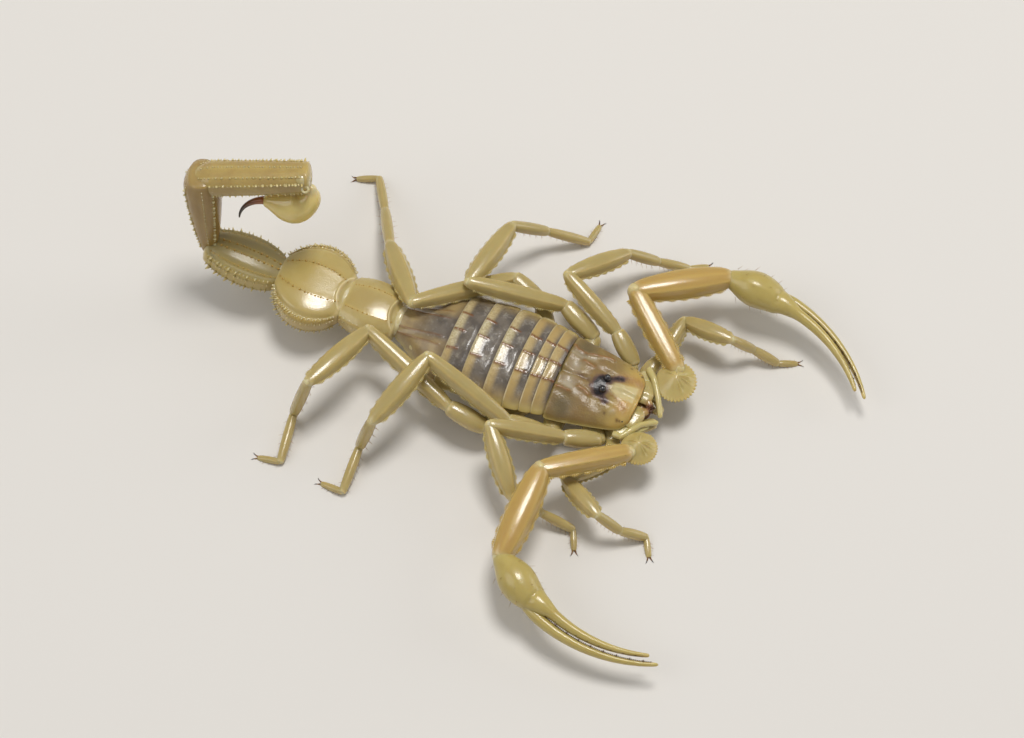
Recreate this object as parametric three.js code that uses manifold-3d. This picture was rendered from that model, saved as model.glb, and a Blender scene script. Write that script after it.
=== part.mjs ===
// Disc-tailed desert scorpion (Apistobuthus), adult, standing with its tail arched over its rear.
// Millimetres, +Z up, the head towards -Y and the animal's left at +X.
// The heading of a limb is its turn away from straight ahead, towards its own side of the body.

import * as THREE from 'three';
import { mergeVertices } from 'three/addons/utils/BufferGeometryUtils.js';
import Module from 'manifold-3d';

const wasm = await Module();
wasm.setup();

// ---------------------------------------------------------------- driving dimensions

const gap = 0.3; // clear space between neighbouring pieces
const left = 1;
const right = -1;

const carapaceLength = 10.5;
const carapaceRearWidth = 12.4;
const carapaceFrontWidth = 6.6;
const carapaceEdge = 5.3; // height of the underside of the carapace
const carapaceTop = 7.7;
const eyeHeight = 7.75;
const eyeSpacing = 1.7;
const eyeDiameter = 0.95;
const eyesFromFront = 4.6;
const eyeSocketGap = 0.15;
const eyeMound = { halfWidth: 1.25, halfLength: 1.5, halfHeight: 0.9, sunk: 0.75 };

const trunkLength = 21.4;
const trunkWidth = 14.1;
const trunkMiddle = 5.4; // height of the widest level of the trunk
const trunkRise = 3.1; // from there up to the ridge of the back
const trunkDrop = 3.2; // and down to the belly
const trunkSink = 0.9; // by how much the widest level sinks towards the tail
const trunkRearRise = 1.9; // by how much the back sinks towards the tail
const trunkRearDrop = 0.95; // and the belly rises
const backPlates = [1.3, 1.5, 2.1, 2.8, 3.2, 3.2, 7.3]; // lengths along the back

// The underside between the legs: a plate with a bar to each leg and a lobe to each pedipalp.
const coxaeBottom = 1.9;
const coxaeTop = carapaceEdge - gap;
const coxaePlate = [
  { back: -9.6, halfWidth: 2.2, depth: 0.6 },
  { back: -7, halfWidth: 4.6, depth: 1 },
  { back: 0, halfWidth: 5.2, depth: 1 },
  { back: 4.2, halfWidth: 3.6, depth: 0.9 },
];
const coxaBar = { halfWidth: 1.5, halfDepth: 1.25, taper: 0.9, front: 6.2, spacing: 2.6, outward: 1.6 };
const palpLobe = { halfWidth: 1.45, halfDepth: 1.35, forward: 6.5, outward: 2.2, lift: 0.5 };

const tail = [
  { name: 'metasoma_1', length: 7.2, width: 7.8, height: 4.4, heading: 180, pitch: 2 },
  { name: 'metasoma_2', length: 9.3, width: 11.9, height: 4.4, heading: 180, pitch: 4 },
  { name: 'metasoma_3', length: 9.5, width: 6.4, height: 4.3, heading: -177, pitch: 11 },
  { name: 'metasoma_4', length: 12.1, width: 5.1, height: 4.8, heading: 118, pitch: 79 },
  { name: 'metasoma_5', length: 12.5, width: 4.7, height: 3.8, heading: 20, pitch: 5 },
];
// How far each tail length runs past the middle of the joint at its root and at its rear.
const tailOverhangs = [[0, 0], [0, 0], [0.5, 0.2], [0.2, 1], [1, 1]];
const tailRoot = { behindTrunk: 0.4, height: 5.2 };
const lastRoll = 12; // the last tail length leans this many degrees to the animal's right
const vesicleDiameter = 4.9;
const aculeus = { length: 3.4, bend: 105, rootRadius: 0.62, tipRadius: 0.25 };
const pecten = { length: 7.5, teeth: 7, toothReach: 0.95, notchReach: 0.6, halfDepth: 0.32 };

// Lengths along a leg: trochanter, femur, patella, tibia, basitarsus, telotarsus.
// 'hip' is where the trochanter leaves the coxa: forward, outward and up from the middle of
// the rear edge of the carapace. Each pose pair is a heading and a pitch in degrees.
const legs = [
  {
    number: 1, hip: [9.2, 5.2, 3.5], lengths: [2.9, 6.2, 6.8, 3.9, 3.8, 2.5], girth: 0.86,
    right: [[77, 6], [132, 5], [32, 8], [-6, -41], [-24, -31], [61, -9]],
    left: [[68, 6], [82, 7], [-7, 8], [26, -44], [6, -30], [27, -11]],
  },
  {
    number: 2, hip: [7.5, 5.9, 4.2], lengths: [4.4, 9.7, 9.3, 4.8, 4.5, 2.6], girth: 0.95,
    right: [[154, 16], [158, 18], [50, -18], [-13, -39], [-2, -21], [66, -10]],
    left: [[141, 20], [154, 14], [53, -14], [30, -36], [25, -27], [36, -12]],
  },
  {
    number: 3, hip: [1.5, 7.6, 4.2], lengths: [5.3, 12.8, 10.7, 6.1, 6.3, 3.0], girth: 1,
    right: [[171, 14], [-169, 22], [108, -12], [151, -74], [87, -11], [-174, -11]],
    left: [[156, 16], [-164, 16], [82, -7], [42, -39], [26, -30], [84, -9]],
  },
  {
    number: 4, hip: [-6.3, 9.6, 4.2], lengths: [4.9, 14.3, 10.9, 7.6, 6.7, 2.9], girth: 1,
    right: [[-177, 16], [-159, 10], [109, 6], [151, -74], [81, -8], [174, -11]],
    left: [[162, 16], [-134, 13], [129, -13], [119, -24], [121, -18], [-163, -12]],
  },
];
const groundLevel = 0.4; // every foot is cut flat at this height of the pose
const legTrochanter = { width: 2.5, depth: 2.3, waist: 0.8 };
const legFemur = { width: 2.2, depth: 2.3, waist: 0.72 };
const legPatella = { width: 2.6, depth: 2.3, waist: 0.56 };
const legTibia = { width: 1.5, depth: 1.5, waist: 0.84, sides: 6, stations: 2 };
const legBasitarsus = { width: 1.25, depth: 1.25, waist: 0.78, sides: 6, stations: 2 };
const legTelotarsus = { width: 0.85, depth: 0.9, waist: 0.8, sides: 6, stations: 1 };

// The pedipalps: the toothed trochanter ('fan' is its width), then the lengths of femur, patella and hand.
const palpLengths = [11.5, 12.3, 7.6];
const palpRoot = [11.2, 4.2, 5.4];
const palpReach = 2.9; // from that root to the base of the femur
const palpSwing = 32; // the base of the femur lies this many degrees outward of the trochanter
const palpTrochanter = { length: 4.9, depth: 3.4, teeth: 10 };
const palpFemur = { width: 2.7, depth: 2.6, waist: 0.8, stations: 4 };
const palpPatella = { width: 3.7, depth: 3.4, waist: 0.66, sides: 10, stations: 5, peak: 1.1 };
const palm = { width: 4.7, depth: 4.4, waist: 0.5, sides: 10, stations: 4, peak: 0.9 };
const finger = { width: 1.6, tip: 0.5, startTurn: 6, endTurn: 55, drop: 30 };
const inner = { edge: -1, length: 15.8 }; // the fixed finger
const outer = { edge: 1, length: 17 }; // the movable finger
const palps = [
  { side: right, fan: 4.7, trochanter: 45, femur: [140, 10], patella: [91, -7], hand: [34, -6] },
  { side: left, fan: 5.3, trochanter: 16, femur: [139, 10], patella: [36, -7], hand: [0, -7] },
];

const chelicera = { length: 2.1, width: 2.7, height: 5.5, outward: { left: 1.95, right: 1.6 } };

// ---------------------------------------------------------------- materials

function finish(color, roughness) {
  return new THREE.MeshStandardMaterial({ color, roughness, metalness: 0 });
}
const honey = finish(0xbfa24a, 0.35);
const paleLimb = finish(0xbdb96a, 0.35);
const shell = finish(0x8d8768, 0.35);
const trunkShell = finish(0x77736b, 0.4);
const lemon = finish(0xc9b04a, 0.25);
const eyeBlack = finish(0x0c0b0d, 0.1);
const stingBrown = finish(0x3a1509, 0.25);
const cream = finish(0xd9cd92, 0.4);

// ---------------------------------------------------------------- helpers

function place(forward, outward, up, side) {
  return new THREE.Vector3(side * outward, -forward, up);
}

function direction(side, heading, pitch) {
  const turn = THREE.MathUtils.degToRad(heading);
  const climb = THREE.MathUtils.degToRad(pitch);
  const level = Math.cos(climb);
  return place(Math.cos(turn) * level, Math.sin(turn) * level, Math.sin(climb), side);
}

// The frame of a limb or tail length: local Y runs along it and local Z points as near
// to 'back' as it can.
function frameAlong(start, along, back = new THREE.Vector3(0, 0, 1)) {
  const x = new THREE.Vector3().crossVectors(along, back).normalize();
  const z = new THREE.Vector3().crossVectors(x, along);
  return new THREE.Matrix4().makeBasis(x, along, z).setPosition(start);
}

// One cross-section at 'y' along a piece. 'rim' is the half thickness of its side edges, and
// 'power' makes the outline rounder (2) or boxier (3).
function ring({ y, halfWidth, top, bottom = top, rim = 0, power = 2, sides = 8, z = 0 }) {
  const points = [];
  for (let i = 0; i < sides; i += 1) {
    const angle = (2 * Math.PI * i) / sides;
    const across = signedPower(Math.cos(angle), 2 / power);
    const lift = signedPower(Math.sin(angle), 2 / power);
    const height = lift > 0 ? top : bottom;
    const edge = Math.abs(lift) < 1e-6 ? 0 : rim * Math.sign(lift);
    points.push(new THREE.Vector3(halfWidth * across, y, z + edge + (height - rim) * lift));
  }
  return points;
}

function signedPower(value, power) {
  return Math.sign(value) * Math.abs(value) ** power;
}

// Joins successive rings of equally many points into one closed solid.
function skin(rings) {
  const sides = rings[0].length;
  const points = rings.flat();
  const middles = [rings[0], rings[rings.length - 1]].map((end) => {
    const middle = end.reduce((sum, point) => sum.add(point), new THREE.Vector3());
    return middle.divideScalar(sides);
  });
  const index = [];
  for (let level = 0; level < rings.length - 1; level += 1) {
    for (let i = 0; i < sides; i += 1) {
      const a = level * sides + i;
      const b = level * sides + ((i + 1) % sides);
      index.push(a, b, b + sides, a, b + sides, a + sides);
    }
  }
  const lastRing = (rings.length - 1) * sides;
  for (let i = 0; i < sides; i += 1) {
    const next = (i + 1) % sides;
    index.push(points.length, next, i);
    index.push(points.length + 1, lastRing + i, lastRing + next);
  }
  return outwardSolid([...points, ...middles], index);
}

function outwardSolid(points, index) {
  let volume = 0;
  for (let i = 0; i < index.length; i += 3) {
    const [a, b, c] = [points[index[i]], points[index[i + 1]], points[index[i + 2]]];
    volume += a.dot(new THREE.Vector3().crossVectors(b, c));
  }
  const triVerts = Uint32Array.from(index);
  if (volume < 0) {
    for (let i = 0; i < triVerts.length; i += 3) {
      [triVerts[i + 1], triVerts[i + 2]] = [triVerts[i + 2], triVerts[i + 1]];
    }
  }
  const vertProperties = Float32Array.from(points.flatMap((point) => point.toArray()));
  return new wasm.Manifold(new wasm.Mesh({ numProp: 3, vertProperties, triVerts }));
}

function solidOf(geometry) {
  const bare = geometry.clone();
  bare.deleteAttribute('normal');
  bare.deleteAttribute('uv');
  const merged = mergeVertices(bare, 1e-5);
  const vertProperties = new Float32Array(merged.attributes.position.array);
  const triVerts = new Uint32Array(merged.index.array);
  return new wasm.Manifold(new wasm.Mesh({ numProp: 3, vertProperties, triVerts }));
}

function geometryOf(solid) {
  const mesh = solid.getMesh();
  const geometry = new THREE.BufferGeometry();
  const positions = new Float32Array(mesh.vertProperties);
  geometry.setAttribute('position', new THREE.BufferAttribute(positions, 3));
  geometry.setIndex(new THREE.BufferAttribute(new Uint32Array(mesh.triVerts), 1));
  geometry.computeVertexNormals();
  return geometry;
}

// Everything beyond a plane, as a big block to cut away.
function beyond(point, normal) {
  const size = 80;
  const block = new THREE.BoxGeometry(size, size, size);
  block.translate(0, 0, size / 2);
  const turn = new THREE.Quaternion().setFromUnitVectors(new THREE.Vector3(0, 0, 1), normal);
  block.applyQuaternion(turn);
  block.translate(point.x, point.y, point.z);
  return solidOf(block);
}

const scorpion = new THREE.Group();

function addMesh(name, solid, material, frame = new THREE.Matrix4(), parent = scorpion) {
  const mesh = new THREE.Mesh(geometryOf(solid), material);
  mesh.name = name;
  frame.decompose(mesh.position, mesh.quaternion, mesh.scale);
  parent.add(mesh);
  return mesh;
}

// Trims a solid in its own frame at a joint shared with a neighbour: the cut leans halfway
// between the two directions, and 'keep' says which side of it this piece lies on.
function trimAtJoint(solid, frame, joint, before, after, keep) {
  const normal = before.clone().add(after).normalize().multiplyScalar(keep === 'before' ? 1 : -1);
  const point = joint.clone().addScaledVector(normal, -gap / 2);
  const inverse = frame.clone().invert();
  return solid.subtract(beyond(point.applyMatrix4(inverse), normal.transformDirection(inverse)));
}

// The skin of a plain limb length: slim at both joints, swollen between, round at the ends.
// 'cap' holds the reach past the joint and the girth of the rings of a rounded end.
const plainCap = [{ reach: 0.75, girth: 0.62 }];
const roundCap = [{ reach: 0.9, girth: 0.4 }, { reach: 0.55, girth: 0.84 }];

function limbSolid(length, { width, depth, waist, sides = 8, stations = 3, peak = 1, cap = plainCap }) {
  const limbRing = (y, girth) => {
    const halfWidth = (width / 2) * girth;
    return ring({ y, halfWidth, top: (depth / 2) * girth, sides });
  };
  const endRadius = (waist * width) / 2;
  const rings = cap.map(({ reach, girth }) => limbRing(-reach * endRadius, waist * girth));
  for (let i = 0; i <= stations; i += 1) {
    const along = i / stations;
    const swell = waist + (1 - waist) * Math.sin(Math.PI * along ** peak) ** 0.8;
    rings.push(limbRing(along * length, swell));
  }
  [...cap].reverse().forEach(({ reach, girth }) => {
    rings.push(limbRing(length + reach * endRadius, waist * girth));
  });
  return skin(rings);
}

function scaled(shape, factor) {
  return { ...shape, width: shape.width * factor, depth: shape.depth * factor };
}

function grown(shape, by) {
  return { ...shape, width: shape.width + 2 * by, depth: shape.depth + 2 * by };
}

// ---------------------------------------------------------------- carapace and eyes

function carapaceHalfWidth(back) {
  const along = back / carapaceLength;
  const taper = THREE.MathUtils.lerp(carapaceFrontWidth, carapaceRearWidth, Math.sqrt(along));
  const corner = Math.min(1, 0.9 + 4 * Math.min(along, 1 - along));
  return (taper / 2) * corner;
}

function carapaceSolid() {
  const rings = [];
  const stations = 8;
  for (let i = 0; i <= stations; i += 1) {
    const back = (i / stations) * carapaceLength;
    const crest = carapaceTop - 0.9 * (1 - back / carapaceLength) ** 1.6;
    const end = i === 0 || i === stations ? 0.75 : 1;
    const top = (crest - carapaceEdge) * end;
    rings.push(ring({
      y: back - carapaceLength,
      halfWidth: carapaceHalfWidth(back),
      top,
      sides: 16,
      power: 2.3,
      z: carapaceEdge,
    }));
  }
  const mound = new THREE.SphereGeometry(1, 10, 6);
  mound.scale(eyeMound.halfWidth, eyeMound.halfLength, eyeMound.halfHeight);
  mound.translate(0, eyesFromFront - carapaceLength, carapaceTop - eyeMound.sunk);
  const floor = beyond(place(0, 0, carapaceEdge, left), new THREE.Vector3(0, 0, -1));
  return skin(rings).add(solidOf(mound)).subtract(floor);
}

let carapace = carapaceSolid();
[right, left].forEach((side) => {
  const centre = place(carapaceLength - eyesFromFront, eyeSpacing / 2, eyeHeight, side);
  const ball = new THREE.SphereGeometry(eyeDiameter / 2, 8, 5);
  const socket = new THREE.SphereGeometry(eyeDiameter / 2 + eyeSocketGap, 8, 5);
  carapace = carapace.subtract(solidOf(socket.translate(centre.x, centre.y, centre.z)));
  const name = side === left ? 'median_eye_left' : 'median_eye_right';
  addMesh(name, solidOf(ball), eyeBlack, new THREE.Matrix4().setPosition(centre));
});
addMesh('carapace', carapace, shell);

// ---------------------------------------------------------------- trunk

// Half width of the back, from the carapace to the waist before the tail.
function trunkHalfWidth(along) {
  const front = THREE.MathUtils.lerp(0.88, 1, Math.sin(Math.min(1, along / 0.3) * (Math.PI / 2)));
  const rear = THREE.MathUtils.smoothstep(along, 0.62, 1.02);
  return (trunkWidth / 2) * front * (1 - 0.68 * rear);
}

// One cross-section of the trunk. 'step' sinks it a little, where a back plate begins.
function trunkRing(along, step) {
  const rear = THREE.MathUtils.smoothstep(along, 0.5, 1);
  const sink = trunkSink * THREE.MathUtils.smoothstep(along, 0.35, 0.75);
  return ring({
    y: gap + along * trunkLength,
    halfWidth: trunkHalfWidth(along) * step,
    top: (trunkRise + sink - trunkRearRise * rear) * step,
    bottom: (trunkDrop - sink - trunkRearDrop * rear) * step,
    sides: 16,
    power: 1.85,
    z: trunkMiddle - sink,
  });
}

function trunkSolid() {
  const rings = [trunkRing(0, 0.9)];
  let along = 0;
  backPlates.forEach((plate) => {
    const length = plate / trunkLength;
    rings.push(trunkRing(along + 0.12 * length, 0.965));
    rings.push(trunkRing(along + 0.97 * length, 1));
    along += length;
  });
  rings.push(trunkRing(0.995, 0.8));
  return skin(rings);
}

// ---------------------------------------------------------------- coxae and sternum

function barBetween(start, end, { halfWidth, halfDepth, taper = 1 }, grow) {
  const along = end.clone().sub(start);
  const length = along.length() + grow;
  const frame = frameAlong(start, along.normalize());
  const rings = [{ y: 0, size: 1 }, { y: length, size: taper }].map(({ y, size }) => ring({
    y,
    halfWidth: halfWidth * size + grow,
    top: halfDepth * size + grow,
    sides: 6,
  }));
  return skin(rings).transform(frame.toArray());
}

// 'grow' makes the whole piece larger, for the room that its neighbours leave round it.
function coxaeSolid(grow = 0) {
  const middle = (coxaeBottom + coxaeTop) / 2;
  const halfDepth = (coxaeTop - coxaeBottom) / 2;
  let solid = skin(coxaePlate.map(({ back, halfWidth, depth }) => ring({
    y: back + grow * Math.sign(back),
    halfWidth: halfWidth + grow,
    top: halfDepth * depth + grow,
    power: 3,
    z: middle,
  })));
  [right, left].forEach((side) => {
    legs.forEach(({ hip, girth }, row) => {
      const root = place(coxaBar.front - coxaBar.spacing * row, coxaBar.outward, middle, side);
      const end = place(hip[0], hip[1], hip[2] - 0.35, side);
      solid = solid.add(barBetween(root, end, scaledBar(coxaBar, girth), grow));
    });
    const lobeRoot = place(palpLobe.forward, palpLobe.outward, middle + palpLobe.lift, side);
    const lobeTip = place(palpRoot[0] + 0.1, palpRoot[1] - 0.7, palpRoot[2] - 0.9, side);
    solid = solid.add(barBetween(lobeRoot, lobeTip, palpLobe, grow));
  });
  return solid;
}

function scaledBar(bar, factor) {
  return { ...bar, halfWidth: bar.halfWidth * factor, halfDepth: bar.halfDepth * factor };
}

const coxaeClearance = coxaeSolid(1.3 * gap);
addMesh('trunk', trunkSolid().subtract(coxaeClearance), trunkShell);

// ---------------------------------------------------------------- limbs

// Walks along a limb from joint to joint.
function walk(start, side, lengths, pose) {
  const joints = [start];
  const ways = [];
  lengths.forEach((length, i) => {
    const way = direction(side, ...pose[i]);
    ways.push(way);
    joints.push(joints[i].clone().addScaledVector(way, length));
  });
  return { joints, ways };
}

// One length of a limb as its own mesh, trimmed where it meets the lengths before and after it.
function addLimb(name, solid, material, { joints, ways }, i) {
  const frame = frameAlong(joints[i], ways[i]);
  let piece = solid;
  if (i > 0) {
    piece = trimAtJoint(piece, frame, joints[i], ways[i - 1], ways[i], 'after');
  }
  if (i < ways.length - 1) {
    piece = trimAtJoint(piece, frame, joints[i + 1], ways[i], ways[i + 1], 'before');
  }
  return addMesh(name, piece, material, frame);
}

function addLeg({ number, hip, lengths, girth, right: rightPose, left: leftPose }, side) {
  const name = `leg_${number}_${side === left ? 'left' : 'right'}`;
  const chain = walk(place(...hip, side), side, lengths, side === left ? leftPose : rightPose);
  const { joints, ways } = chain;

  // The coxa's open end leans halfway between its own run and the trochanter.
  const hipCut = ways[0].clone().add(direction(side, 90, 0)).normalize();
  const trochanterFrame = frameAlong(joints[0], ways[0]);
  const inverse = trochanterFrame.clone().invert();
  const start = joints[0].clone().addScaledVector(hipCut, gap / 2).applyMatrix4(inverse);
  const away = hipCut.clone().negate().transformDirection(inverse);
  const trochanter = limbSolid(lengths[0], { ...scaled(legTrochanter, girth), sides: 6 });
  const trimmed = trochanter.subtract(beyond(start, away));
  const upTo = trimAtJoint(trimmed, trochanterFrame, joints[1], ways[0], ways[1], 'before');
  const clear = upTo.subtract(coxaeClearance.transform(inverse.toArray()));
  addMesh(`${name}_trochanter`, clear, paleLimb, trochanterFrame);

  addLimb(`${name}_femur`, limbSolid(lengths[1], scaled(legFemur, girth)), paleLimb, chain, 1);
  addLimb(`${name}_patella`, limbSolid(lengths[2], scaled(legPatella, girth)), paleLimb, chain, 2);

  // Tibia and the two lengths of the foot are one piece, with a small flat to stand on.
  const footFrame = frameAlong(joints[3], ways[3]);
  const toFoot = footFrame.clone().invert();
  let foot = limbSolid(lengths[3], scaled(legTibia, girth));
  [legBasitarsus, legTelotarsus].forEach((shape, j) => {
    const frame = toFoot.clone().multiply(frameAlong(joints[4 + j], ways[4 + j]));
    foot = foot.add(limbSolid(lengths[4 + j], shape).transform(frame.toArray()));
  });
  const ground = new THREE.Vector3(0, 0, groundLevel).applyMatrix4(toFoot);
  const down = new THREE.Vector3(0, 0, -1).transformDirection(toFoot);
  foot = trimAtJoint(foot, footFrame, joints[3], ways[2], ways[3], 'after');
  addMesh(`${name}_foot`, foot.subtract(beyond(ground, down)), paleLimb, footFrame);
}

legs.forEach((leg) => {
  addLeg(leg, right);
  addLeg(leg, left);
});

// ---------------------------------------------------------------- pedipalps

// The trochanter is a rounded fan with a toothed front edge. Local Y is its own axis.
function fanSolid(width) {
  const { length, depth, teeth } = palpTrochanter;
  const levels = 4;
  const sides = 2 * teeth;
  const rings = [];
  for (let level = 1; level < levels; level += 1) {
    const angle = (Math.PI * level) / levels - Math.PI / 2;
    const points = [];
    for (let i = 0; i < sides; i += 1) {
      const turn = (2 * Math.PI * i) / sides;
      const tooth = Math.sin(turn) > -0.2 && level === levels / 2 && i % 2 === 0 ? 1.09 : 1;
      const reach = Math.cos(angle) * tooth;
      const x = (width / 2) * reach * Math.cos(turn);
      const y = 0.42 * length + (length / 2) * reach * Math.sin(turn);
      points.push(new THREE.Vector3(x, y, (depth / 2) * Math.sin(angle)));
    }
    rings.push(points);
  }
  return skin(rings);
}

// A point beside the middle line of the closed fingers, which starts at the front of the hand
// and turns steadily inward. The outer finger lies a little lower than the inner one.
function fingerPoint(along, offset, length, side) {
  const steps = 12;
  const point = new THREE.Vector3(0, palpLengths[2] - 0.6, 0);
  const bend = finger.endTurn - finger.startTurn;
  const turnAt = (t) => THREE.MathUtils.degToRad(finger.startTurn + bend * t);
  for (let i = 0; i < steps; i += 1) {
    const turn = turnAt((along * (i + 0.5)) / steps);
    const step = (along * length) / steps;
    point.x += side * Math.sin(turn) * step;
    point.y += Math.cos(turn) * step;
  }
  const turn = turnAt(along);
  const drop = THREE.MathUtils.degToRad(finger.drop);
  const outward = new THREE.Vector3(-side * Math.cos(turn), Math.sin(turn), -Math.tan(drop));
  return point.addScaledVector(outward, offset * Math.cos(drop));
}

// One finger as rings of slim ovals along that line, on its inner or its outer side.
function fingerSolid(side, { edge, length }, grow = 0) {
  const stations = 7;
  const rings = [];
  for (let i = 0; i <= stations; i += 1) {
    const along = i / stations;
    const half = THREE.MathUtils.lerp(finger.width, finger.tip, along ** 0.85) / 2;
    const offset = edge * (half + gap / 2);
    const pointAt = (t) => fingerPoint(THREE.MathUtils.clamp(t, 0, 1), offset, length, side);
    const way = pointAt(along + 0.02).sub(pointAt(along - 0.02)).normalize();
    const frame = frameAlong(pointAt(along), way);
    const y = i === 0 ? -grow : 0;
    const section = ring({ y, halfWidth: half + grow, top: 1.15 * (half + grow), sides: 7 });
    rings.push(section.map((point) => point.applyMatrix4(frame)));
  }
  return skin(rings);
}

function addPalp({ side, fan, trochanter, femur, patella, hand }) {
  const name = `pedipalp_${side === left ? 'left' : 'right'}`;
  const root = place(...palpRoot, side);
  const fanFrame = frameAlong(root, direction(side, trochanter, 0));
  const start = root.clone().addScaledVector(direction(side, trochanter + palpSwing, 10), palpReach);
  const chain = walk(start, side, palpLengths, [femur, patella, hand]);
  const { joints, ways } = chain;

  const femurShape = { ...palpFemur, cap: roundCap };
  const femurRoom = limbSolid(palpLengths[0], grown(femurShape, 1.5 * gap));
  const toFan = fanFrame.clone().invert();
  const femurToFan = toFan.clone().multiply(frameAlong(joints[0], ways[0]));
  const trochanterSolid = fanSolid(fan)
    .subtract(femurRoom.transform(femurToFan.toArray()))
    .subtract(coxaeClearance.transform(toFan.toArray()));
  addMesh(`${name}_trochanter`, trochanterSolid, honey, fanFrame);

  addLimb(`${name}_femur`, limbSolid(palpLengths[0], femurShape), honey, chain, 0);
  const patellaSolid = limbSolid(palpLengths[1], { ...palpPatella, cap: roundCap });
  addLimb(`${name}_patella`, patellaSolid, honey, chain, 1);

  const handSolid = limbSolid(palpLengths[2], { ...palm, cap: roundCap })
    .add(fingerSolid(side, inner))
    .subtract(fingerSolid(side, outer, gap));
  addLimb(`${name}_hand`, handSolid, paleLimb, chain, 2);
  const handFrame = frameAlong(joints[2], ways[2]);
  addMesh(`${name}_movable_finger`, fingerSolid(side, outer), paleLimb, handFrame);
}

palps.forEach(addPalp);

// ---------------------------------------------------------------- chelicerae

// A wide flat base, and on its inner side a short pincer that points inward and down.
const cheliceraStations = [
  { along: 1, width: 0.2, top: 0.27, inward: 1.35, drop: 0.45 },
  { along: 0.75, width: 0.27, top: 0.4, inward: 0.95, drop: 0.25 },
  { along: 0.5, width: 0.62, top: 0.55, inward: 0.4, drop: 0.1 },
  { along: 0.25, width: 0.95, top: 0.7, inward: 0.05, drop: 0 },
  { along: 0, width: 1, top: 0.7, inward: 0, drop: 0 },
];

function cheliceraSolid(side) {
  return skin(cheliceraStations.map(({ along, width, top, inward, drop }) => ring({
    y: -along * chelicera.length,
    halfWidth: (chelicera.width / 2) * width,
    top,
    z: -drop,
  }).map((point) => point.setX(point.x - side * inward))));
}

[right, left].forEach((side) => {
  const name = side === left ? 'left' : 'right';
  const front = place(carapaceLength + gap, chelicera.outward[name], chelicera.height, side);
  const frame = new THREE.Matrix4().setPosition(front);
  const toFront = frame.clone().invert().toArray();
  const clear = cheliceraSolid(side).subtract(coxaeClearance.transform(toFront));
  addMesh(`chelicera_${name}`, clear, cream, frame);
});

// Under the carapace and the trunk the coxae are cut off flat. In front they rise freely.
const roomForShell = new THREE.BoxGeometry(30, 30, 10);
roomForShell.translate(0, 15 - carapaceLength - gap, coxaeTop + 5);
addMesh('coxae_and_sternum', coxaeSolid().subtract(solidOf(roomForShell)), cream);

// ---------------------------------------------------------------- tail

// Outline of each tail length seen from above, as a share of its width, from its slim root
// to its rear rim. 'tooth' is how far a side tooth stands out, and 'rim' half the edge's thickness.
// 'profile' is the same for the height, where a length isn't simply swollen in the middle.
const swollen = (t) => 0.74 + 0.26 * Math.sin(Math.PI * t) ** 0.7;
const blunt = (t) => (1 - 0.45 * Math.max(0, 1 - t / 0.18) ** 2) * (1 - 0.12 * t * t);
const tailShapes = {
  metasoma_1: {
    stations: 10, rim: 0.5, tooth: 0.15,
    outline: (t) => 0.62 + 0.38 * Math.sin(Math.PI * Math.min(1, 0.1 + t * 0.78)) ** 0.8,
  },
  metasoma_2: {
    stations: 16, rim: 0.45, tooth: 0.22,
    outline: (t) => Math.sqrt(1 - Math.min(0.96, Math.abs(1.81 * t - 0.84)) ** 2),
  },
  metasoma_3: {
    stations: 14, rim: 0.5, tooth: 0.3,
    outline: (t) => 0.54 + 0.46 * Math.sin(Math.PI * t ** 0.9) ** 0.7,
  },
  metasoma_4: {
    stations: 8, rim: 0.6, tooth: 0,
    outline: (t) => 0.42 + 0.58 * (1 - (1 - t) ** 1.8),
    profile: (t) => (1 - 0.58 * (1 - t) ** 1.8) * (1 - 0.35 * Math.max(0, (t - 0.85) / 0.15) ** 2),
  },
  metasoma_5: {
    stations: 8, rim: 0.6, tooth: 0,
    outline: blunt,
    profile: blunt,
  },
};

function tailSolid({ name, length, width, height }, [before, after]) {
  const { stations, rim, tooth, outline, profile = swollen } = tailShapes[name];
  const rings = [];
  for (let i = 0; i <= stations; i += 1) {
    const t = i / stations;
    const toothed = i % 2 === 1 && t > 0.1 && t < 0.95;
    rings.push(ring({
      y: -before + t * (length + before + after),
      halfWidth: (width / 2) * outline(t) + (toothed ? tooth : 0),
      top: (height / 2) * profile(t),
      rim,
      sides: 10,
      power: 2.1,
    }));
  }
  return skin(rings);
}

const tailStart = place(-trunkLength - tailRoot.behindTrunk, 0, tailRoot.height, left);
const tailLengths = tail.map(({ length }) => length);
const tailPose = tail.map(({ heading, pitch }) => [heading, pitch]);
const tailChain = walk(tailStart, left, tailLengths, tailPose);

// The first three lengths lie back up, the fourth stands with its back to the front, and the
// last one lies over them upside down.
const last = tail.length - 1;
const tailBacks = tail.map(() => new THREE.Vector3(0, 0, 1));
tailBacks[last - 1] = direction(left, tail[last].heading, 0);
tailBacks[last] = direction(left, tail[last].heading - 90, lastRoll - 90);

tail.forEach((length, i) => {
  const { joints, ways } = tailChain;
  const frame = frameAlong(joints[i], ways[i], tailBacks[i]);
  let solid = tailSolid(length, tailOverhangs[i]);
  solid = trimAtJoint(solid, frame, joints[i], ways[Math.max(0, i - 1)], ways[i], 'after');
  if (i < last) {
    solid = trimAtJoint(solid, frame, joints[i + 1], ways[i], ways[i + 1], 'before');
  }
  addMesh(length.name, solid, honey, frame);
});

// The telson is folded back under the last length. Its middle line is given in that length's
// own frame: y along the tail, z away from its dorsal side.
function bentTube(stations, sides) {
  const rings = stations.map(({ y, z, radius }, i) => {
    const before = stations[Math.max(0, i - 1)];
    const after = stations[Math.min(stations.length - 1, i + 1)];
    const along = new THREE.Vector3(0, after.y - before.y, after.z - before.z).normalize();
    const frame = frameAlong(new THREE.Vector3(0, y, z), along, new THREE.Vector3(1, 0, 0));
    const section = ring({ y: 0, halfWidth: radius, top: radius, sides });
    return section.map((point) => point.applyMatrix4(frame));
  });
  return skin(rings);
}

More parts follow.
